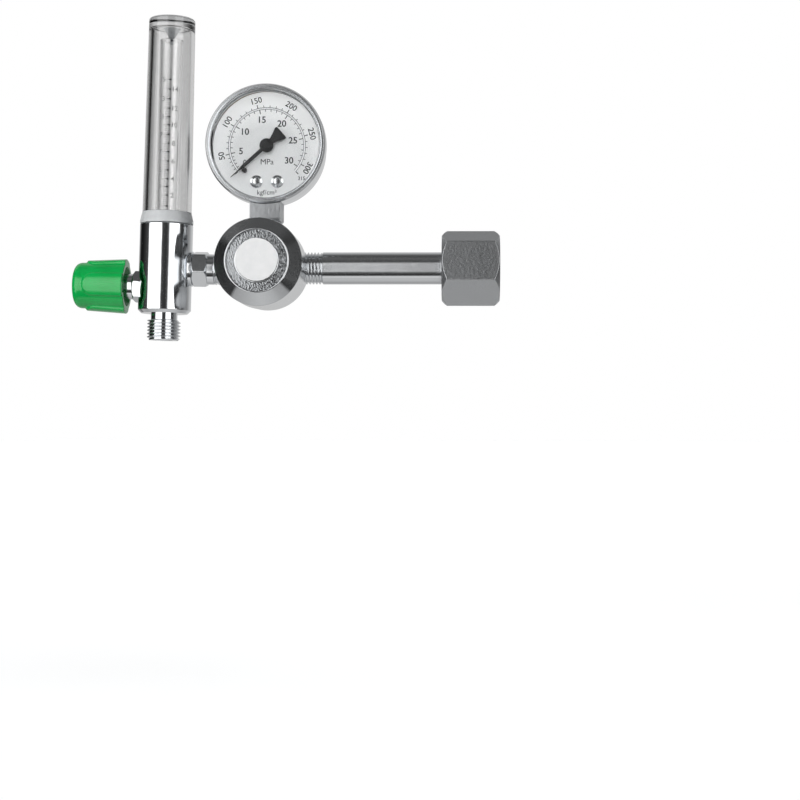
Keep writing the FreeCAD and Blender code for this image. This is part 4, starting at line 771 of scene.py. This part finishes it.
# The stop pin stands at the side of the resting pointer
rest_turn = math.radians(131.5)
stop_out = 14.2
stop_radius = 1.1
stop_gap = 0.06
pointer_half = 0.38
stop_angle = rest_turn + math.asin((stop_radius + stop_gap + pointer_half) / stop_out)
stop_place = gauge_axis + Vector((-stop_out * math.sin(stop_angle), 0, stop_out * math.cos(stop_angle)))
outline = [(0, -1.2), (0.6, -1.2), (0.6, -0.6), (stop_radius, -0.6), (stop_radius, 1.5, 0.2), (0, 1.5)]
placed("stop_peg", revolved(outline, laid(stop_place, AHEAD), 40), black_paint, "regulator", "stop_pin")

# The pointer's blade, from its tip to the end of its tail, as half widths and heights
turn_back = Matrix.Rotation(-rest_turn, 4, "Y")
blade = bmesh.new()
half_shape = [(0.14, 20.5), (0.26, 16.0), (0.62, 14.2), (0.72, 12.5), (0.80, 3.0), (1.1, 0.0),
              (1.3, -3.0), (2.2, -5.5), (3.1, -7.4), (3.2, -8.1), (2.9, -8.6)]
shape = half_shape + [(-x, z) for x, z in reversed(half_shape)]
rims = []
for depth in (-0.8, -1.2):
    edge = [(gauge_axis + turn_back @ Vector((x, depth, z))) * MM for x, z in shape]
    rims.append([blade.verts.new(p) for p in edge])
blade.faces.new(rims[0])
blade.faces.new(list(reversed(rims[1])))
for k in range(len(shape)):
    j = (k + 1) % len(shape)
    blade.faces.new([rims[0][k], rims[0][j], rims[1][j], rims[1][k]])
bmesh.ops.recalc_face_normals(blade, faces=blade.faces)
placed("pointer_blade", blade, black_paint, "pointer", "gauge_pointer")
outline = [(0, 0.8), (3.0, 0.8), (3.0, 1.55, 0.2), (2.0, 1.7, 0.2), (1.6, 1.95, 0.1), (0, 1.95)]
placed("pointer_hub", revolved(outline, on_gauge, 64), black_paint, "pointer")


# Gauge socket. A brass block, milled square for a spanner and chromed, screwed down into the
# body. Inside the case it carries the Bourdon tube and the movement.

neck_low = 19.8
neck_high = 28.4
neck_width = 13.16
neck_depth = 14.66
neck_axis = body_axis + Vector((0, 0.7, 0))
middle = neck_axis + Vector((0, 0, (neck_low + neck_high) / 2))
block = bmesh.new()
bmesh.ops.create_cube(block, size=1.0)
bmesh.ops.transform(block, verts=block.verts, matrix=Matrix.Scale(MM, 4) @ Matrix.Translation(middle)
                    @ Matrix.Diagonal((neck_width, neck_depth, neck_high - neck_low, 1.0)))
low_edges = [e for e in block.edges if max(v.co.z for v in e.verts) < (neck_low + 0.1) * MM]
bmesh.ops.bevel(block, geom=low_edges, offset=1.4 * MM, segments=6, profile=0.5, affect="EDGES")
standing = [e for e in block.edges if len(e.link_faces) == 2 and e.calc_face_angle(0) > 1.0]
bmesh.ops.bevel(block, geom=standing, offset=0.3 * MM, segments=3, profile=0.5, affect="EDGES")
neck = placed("neck_block", block, satin_chrome, "regulator")

# The block is hollowed to fit round the bezel and the case
cutters = []
past_front = 9.0
for name, radius, back in (("bezel_room", bezel_radius + 0.1, bezel_back - 0.1),
                           ("case_room", case_radius, case_back - 1.0)):
    hollow = [(0, back), (radius, back), (radius, past_front), (0, past_front)]
    hollow = revolved(hollow, on_gauge, 160)
    hollow_mesh = bpy.data.meshes.new(name)
    hollow.to_mesh(hollow_mesh)
    hollow.free()
    cutters.append(linked(name, hollow_mesh))
    cut = neck.modifiers.new(name, "BOOLEAN")
    cut.object = cutters[-1]
    cut.solver = "EXACT"
neck.modifiers.move(0, 2)
cut_mesh = neck.evaluated_get(bpy.context.evaluated_depsgraph_get())
cut_mesh = bpy.data.meshes.new_from_object(cut_mesh)
neck.modifiers.clear()
neck.data = cut_mesh
for cutter in cutters:
    bpy.data.objects.remove(cutter)
dress(satin_chrome, "gauge_socket")

# The socket's thread, seen as a few turns between the block and the body: a quarter inch gas
# thread, by its crest and root radius and its pitch
gas_thread = (6.6, 5.9, 1.337)
ridges = skinned(threaded(14.0, neck_low, *gas_thread), laid(neck_axis, UP), False)
placed("neck_thread", ridges, bright_chrome, "regulator", sharp_deg=60)

dress(raw_brass, "bourdon_tube", "tube_tip", "sector_gear", "pinion_arbor", "movement_plate_front",
      "movement_plate_rear", "movement_pillars", "movement_link")
dress(plain_steel, "plate_screws", "hairspring")


# Flowmeter body. Turned from brass bar and chromed, with a well for the tubes at its top, a
# port on either side and the outlet below. The whole group leans 1.3 degrees on its thread.

flow_origin = Vector((-139.2, 0, 0))
lean = Matrix.Rotation(math.radians(1.3), 4, "Y")
on_flow = Matrix.Scale(MM, 4) @ Matrix.Translation(flow_origin) @ lean
flow_radius = 11.3
flow_bottom = -19.4
flow_top = 19.0
well_radius = 9.3
well_floor = 11.4
tube_radius = 5.0
outline = [(0, flow_bottom), (9.9, flow_bottom, 0.2), (flow_radius, -18.0, 0.5),
           (flow_radius, 18.5, 0.2), (10.8, flow_top, 0.15), (well_radius, flow_top),
           (well_radius, well_floor), (tube_radius, well_floor), (tube_radius, 8.6), (0, 8.6)]
placed("flow_body", revolved(outline, on_flow, 128), bright_chrome, "regulator", "flowmeter_body")


# Tubes. Both are clear polycarbonate: the outer one moulded with a tapered flange that screws
# into the body, the inner one drawn with a widening bore, its scale printed on the outside.

# Clear polycarbonate, glossy inside and out
clear_tube, tree = new_material("polycarbonate_clear", "clear_polycarbonate")
surface(tree, Base_Color=linear("#f6f6f6"), Roughness=0.02, IOR=1.585, Transmission_Weight=1.0)
sleeve_foot = 24.05
sleeve_foot_radius = 10.45
sleeve_top = 107.3
sleeve_ceiling = 103.3
outline = [(8.40, sleeve_foot), (sleeve_foot_radius, sleeve_foot), (9.85, sleeve_top, 1.0),
           (0, sleeve_top), (0, sleeve_ceiling), (7.85, sleeve_ceiling, 1.6)]
placed("outer_sleeve", revolved(outline, on_flow, 128, 8), clear_tube, "regulator", "outer_tube")

# The same where the mould left it rough, on the flange and the thread below it
frosted_tube, tree = new_material("polycarbonate_frosted", "clear_polycarbonate")
surface(tree, Base_Color=mottled(tree, 2.0, 3.0, "#dcdedf", "#e6e8e9"), Roughness=0.42, IOR=1.585,
        Transmission_Weight=0.25)
outline = [(8.45, 13.0), (well_radius, 13.0), (well_radius, flow_top), (flow_radius, flow_top, 0.2),
           (flow_radius, 20.5, 0.4), (sleeve_foot_radius, 24.0, 0.4), (8.41, 24.0)]
placed("sleeve_flange", revolved(outline, on_flow, 128, 6), frosted_tube, "regulator")
metering_top = 98.0
outline = [(3.15, 9.6), (tube_radius, 9.6), (tube_radius, metering_top, 0.2),
           (4.0, metering_top, 0.2), (3.15, well_floor)]
placed("metering_tube", revolved(outline, on_flow, 96), clear_tube, "regulator", "inner_tube")

# Black glass, ground to a ball and polished
ball_glass, tree = new_material("ball_black_glass", "black_paint")
surface(tree, Base_Color=linear("#1a1b1d"), Roughness=noise(tree, 1.111, 2.0, 0.08, 0.16), IOR=1.5)
ball_rest = 14.6
ball_radius = 3.0
half_turn = [math.pi * k / 24 for k in range(25)]
outline = [(ball_radius * math.sin(angle), ball_rest - ball_radius * math.cos(angle)) for angle in half_turn]
outline[0] = (0, ball_rest - ball_radius)
outline[-1] = (0, ball_rest + ball_radius)
placed("float", revolved(outline, on_flow, 48), ball_glass, "float", "float_ball")

# Acetal, moulded in grey
grey_moulding, tree = new_material("acetal_grey", "grey_plastic")
surface(tree, Base_Color=mottled(tree, 2.0, 3.0, "#9c9e9f", "#a6a8a9"), Roughness=0.42, IOR=1.48)
outline = [(0, 96.1), (0.6, 96.1, 0.2), (0.6, 98.7, 0.2), (0.9, 98.7, 0.1), (3.8, sleeve_ceiling),
           (0, sleeve_ceiling)]
placed("stop_cone", revolved(outline, on_flow, 48), grey_moulding, "regulator", "float_stop")

tube_print = bmesh.new()
print_radius = tube_radius + ink_film


def on_tube(across, up):
    """Point on the metering tube's front, across to the right of its middle and up its axis."""
    angle = across / print_radius
    return on_flow @ Vector((print_radius * math.sin(angle), -print_radius * math.cos(angle), up))


def tube_bar(low_across, high_across, low_up, high_up):
    """A printed line on the tube, wrapped round its front."""
    rows = []
    for k in range(5):
        across = low_across + (high_across - low_across) * k / 4
        rows.append([tube_print.verts.new(on_tube(across, up)) for up in (low_up, high_up)])
    for left, right in zip(rows, rows[1:]):
        tube_print.faces.new([left[0], right[0], right[1], left[1]])


# Litre marks fade from a wedge at the spine to a hairline, with four short marks between them
spine = 0.9
litre_levels = [26.2, 30.8, 34.5, 37.8, 41.6, 45.4, 49.4, 53.0, 56.8, 60.9, 64.3, 68.0, 72.0, 76.2,
                80.3]
tube_bar(spine - 0.06, spine + 0.06, 24.0, 84.5)
for level, above_it in zip(litre_levels, litre_levels[1:]):
    for fifth in range(1, 5):
        part_way = level + (above_it - level) * fifth / 5
        tube_bar(spine - 2.0, spine, part_way - 0.035, part_way + 0.035)
for litre, level in enumerate(litre_levels):
    tube_bar(spine - 2.9, spine - 1.2, level - 0.06, level + 0.06)
    tube_bar(spine - 1.2, spine - 0.6, level - 0.12, level + 0.12)
    tube_bar(spine - 0.6, spine + 0.25, level - 0.30, level + 0.30)
    middle = spine - 3.6 if litre % 2 == 0 else spine + 1.9
    characters(tube_print, str(litre + 1), 3.0, 0.03, 3,
               lambda place: on_tube(middle + place.x, level + place.y))

# The sign above the scale shows that the ball's middle is read: a line, a ring and a black dot
sign_level = 96.9
tube_bar(spine - 3.9, spine - 2.7, sign_level - 0.1, sign_level + 0.1)
tube_bar(spine + 0.2, spine + 1.5, sign_level - 0.1, sign_level + 0.1)
for radius, hole, middle in ((1.15, 0.98, spine - 1.5), (0.42, 0.01, spine)):
    rows = []
    for k in range(25):
        angle = 2 * math.pi * k / 24
        pair = [(middle + r * math.cos(angle), sign_level + r * math.sin(angle)) for r in (hole, radius)]
        rows.append([tube_print.verts.new(on_tube(*spot)) for spot in pair])
    for low, high in zip(rows, rows[1:]):
        tube_print.faces.new([low[0], low[1], high[1], high[0]])
placed("flow_scale", tube_print, ink, "regulator")


# Outlet. A brass nipple with a 9/16 inch, 18 threads per inch oxygen thread, chromed, screwed
# into the bottom of the body; a humidifier bottle or tubing adapter screws onto it.

outlet_end = 30.8
outlet_thread_crest = 7.144
outlet_thread_root = 6.25
core_radius = 6.2
outline = [(3.9, -outlet_end), (5.6, -outlet_end, 0.2), (core_radius, -30.2), (core_radius, -22.3),
           (5.65, -22.1, 0.2), (5.65, flow_bottom), (4.8, flow_bottom), (4.8, -13.4), (2.1, -13.4),
           (2.1, -18.8), (3.3, -18.8), (3.3, -30.2)]
placed("outlet_tail", revolved(outline, on_flow, 96), bright_chrome, "regulator", "outlet_nipple")
on_outlet = on_flow @ Matrix.Rotation(math.pi, 4, "X")
ridges = threaded(22.4, outlet_end, outlet_thread_crest, outlet_thread_root, inch_thread_pitch)
placed("outlet_thread", skinned(ridges, on_outlet, False), bright_chrome, "regulator", sharp_deg=60)


# Union to the regulator body: hexagon brass bar with a neck and a thread into the body, and a
# round washer against the flowmeter, both chromed.

on_union = on_flow @ UP.rotation_difference(RIGHT).to_matrix().to_4x4()
spigot = 4.8
union_start = 12.0
union_end = 18.6
union_bore = 1.8
outline = [(spigot, 10.3), (7.5, 10.3, 0.3), (7.5, union_start, 0.35), (spigot, union_start)]
placed("washer", revolved(outline, on_union, 96), bright_chrome, "regulator", "fitting_washer")
union_flats = 14.0
inside = [(union_bore, union_end), (union_bore, union_start)]
columns = hexagon_columns(union_flats, 0.6, union_start, union_end, 6.75, 35.0, 0.25, inside)
union_turn = Matrix.Rotation(math.radians(43.0), 4, "Z")
union_hexagon = skinned(columns, on_union @ union_turn)
placed("union_hexagon", union_hexagon, bright_chrome, "regulator", "outlet_fitting")
outline = [(union_bore, union_end), (6.5, union_end), (6.5, 21.4, 0.35), (6.0, 21.6), (union_bore, 21.6)]
placed("union_neck", revolved(outline, on_union, 96), bright_chrome, "regulator")
outline = [(union_bore, 6.3), (spigot, 6.3), (spigot, union_start), (union_bore, union_start)]
placed("union_spigot", revolved(outline, on_union, 64), raw_brass, "regulator")
ridges = threaded(21.4, 33.0, *gas_thread)
placed("union_thread", skinned(ridges, on_union, False), bright_chrome, "regulator", sharp_deg=60)


# Gland, spindle and knob. The gland is a chromed brass nut over the spindle's packing. The
# knob is moulded in green ABS, hollow at its back, with four raised finger pads.

valve_origin = Vector((0, 0, -8.1))
LEFT = Vector((-1, 0, 0))
on_valve = UP.rotation_difference(LEFT).to_matrix().to_4x4()
on_valve = on_flow @ Matrix.Translation(valve_origin) @ on_valve
gland_flats = 12.0
gland_start = 8.8
gland_end = 13.4
gland_bore = 2.5
spindle_radius = 2.45
inside = [(gland_bore, gland_end), (gland_bore, gland_start)]
columns = hexagon_columns(gland_flats, 0.5, gland_start, gland_end, 5.8, 35.0, 0.22, inside)
gland_turn = Matrix.Rotation(math.radians(46.0), 4, "Z")
placed("gland_hexagon", skinned(columns, on_valve @ gland_turn), bright_chrome, "regulator", "gland_nut")
outline = [(gland_bore, 6.0), (5.0, 6.0), (5.0, gland_start), (4.6, gland_end), (5.5, gland_end, 0.2),
           (5.5, 17.6, 0.5), (gland_bore, 17.6)]
placed("gland_collar", revolved(outline, on_valve, 96), bright_chrome, "regulator")
outline = [(0, 4.1), (0.6, 4.1), (1.15, 5.45), (spindle_radius, 5.8), (spindle_radius, 34.0, 0.4),
           (0, 34.0)]
placed("spindle_rod", revolved(outline, on_valve, 64), bright_chrome, "spindle", "valve_spindle")

# Green ABS with faint flow swirls, and the skin of a spark-eroded mould, about 0.2 mm
green_abs, tree = new_material("abs_green_moulded", "green_plastic")
surface(tree, Base_Color=mottled(tree, 8.333, 3.0, "#03a64a", "#05b051"), Roughness=0.17, IOR=1.54,
        Subsurface_Weight=0.06, Subsurface_Radius=(0.3, 1.0, 0.3), Subsurface_Scale=1.2 * MM,
        Normal=bump(tree, noise(tree, 0.2, 1.0), 0.06, 0.04))

knob_rim = 16.4
knob_end = 38.7
knob_roof = 36.3
knob_mouth = 8.4
knob_steps = 240
# The pads taper from the rim to their round tips, and their sides slope down to the knob
pad_tip = 33.8
pad_half = 4.7
pad_rim_radius = 11.7
pad_tip_radius = 10.75
pad_slope_outside = 0.35
pad_slope = 0.9
rim_round = 0.4
fine_step = 0.35
cup = rounded([(knob_mouth, knob_rim), (10.4, knob_rim, 0.4), (9.7, knob_end, 3.2), (0, knob_end)], 10)
fine_cup = []
for before, after in zip(cup, cup[1:]):
    pieces = max(1, int((after - before).length / fine_step))
    fine_cup += [before.lerp(after, k / pieces) for k in range(pieces)]
fine_cup.append(cup[-1])
columns = []
for k in range(knob_steps):
    angle = 2 * math.pi * k / knob_steps
    offset = (angle + math.pi / 4) % (math.pi / 2) - math.pi / 4
    column = []
    for point in fine_cup:
        radius = point.x
        share = min(1.0, max(0.0, (point.y - knob_rim) / (pad_tip - knob_rim)))
        pad_radius = pad_rim_radius + (pad_tip_radius - pad_rim_radius) * share
        across = abs(radius * math.sin(offset))
        past = max(0.0, point.y - (pad_tip - pad_half))
        inward = (pad_half - math.hypot(across, past) + pad_slope_outside) / pad_slope
        inward = min(1.0, max(0.0, inward))
        inward = inward * inward * (3 - 2 * inward)
        near_rim = min(1.0, (point.y - knob_rim) / rim_round)
        if radius > knob_mouth + 0.2 and point.y < pad_tip + 0.6:
            rise = max(0.0, pad_radius - radius) * inward
            radius += rise * math.sqrt(max(0.0, 1 - (1 - near_rim) ** 2)) if near_rim < 1 else rise
        column.append((radius, angle, point.y))
    columns.append(column)
shell = skinned(columns, on_valve, False)
inner_wall = [(knob_mouth, knob_rim), (7.7, knob_roof, 1.2), (0, knob_roof)]
inner_wall = revolved(inner_wall, on_valve, knob_steps)
placed("knob_shell", shell, green_abs, "knob", "flow_knob", sharp_deg=50)
placed("knob_inside", inner_wall, green_abs, "knob")
outline = [(2.6, 22.0), (4.8, 22.0, 0.3), (4.8, knob_roof), (2.6, knob_roof)]
placed("knob_boss", revolved(outline, on_valve, 64), green_abs, "knob")
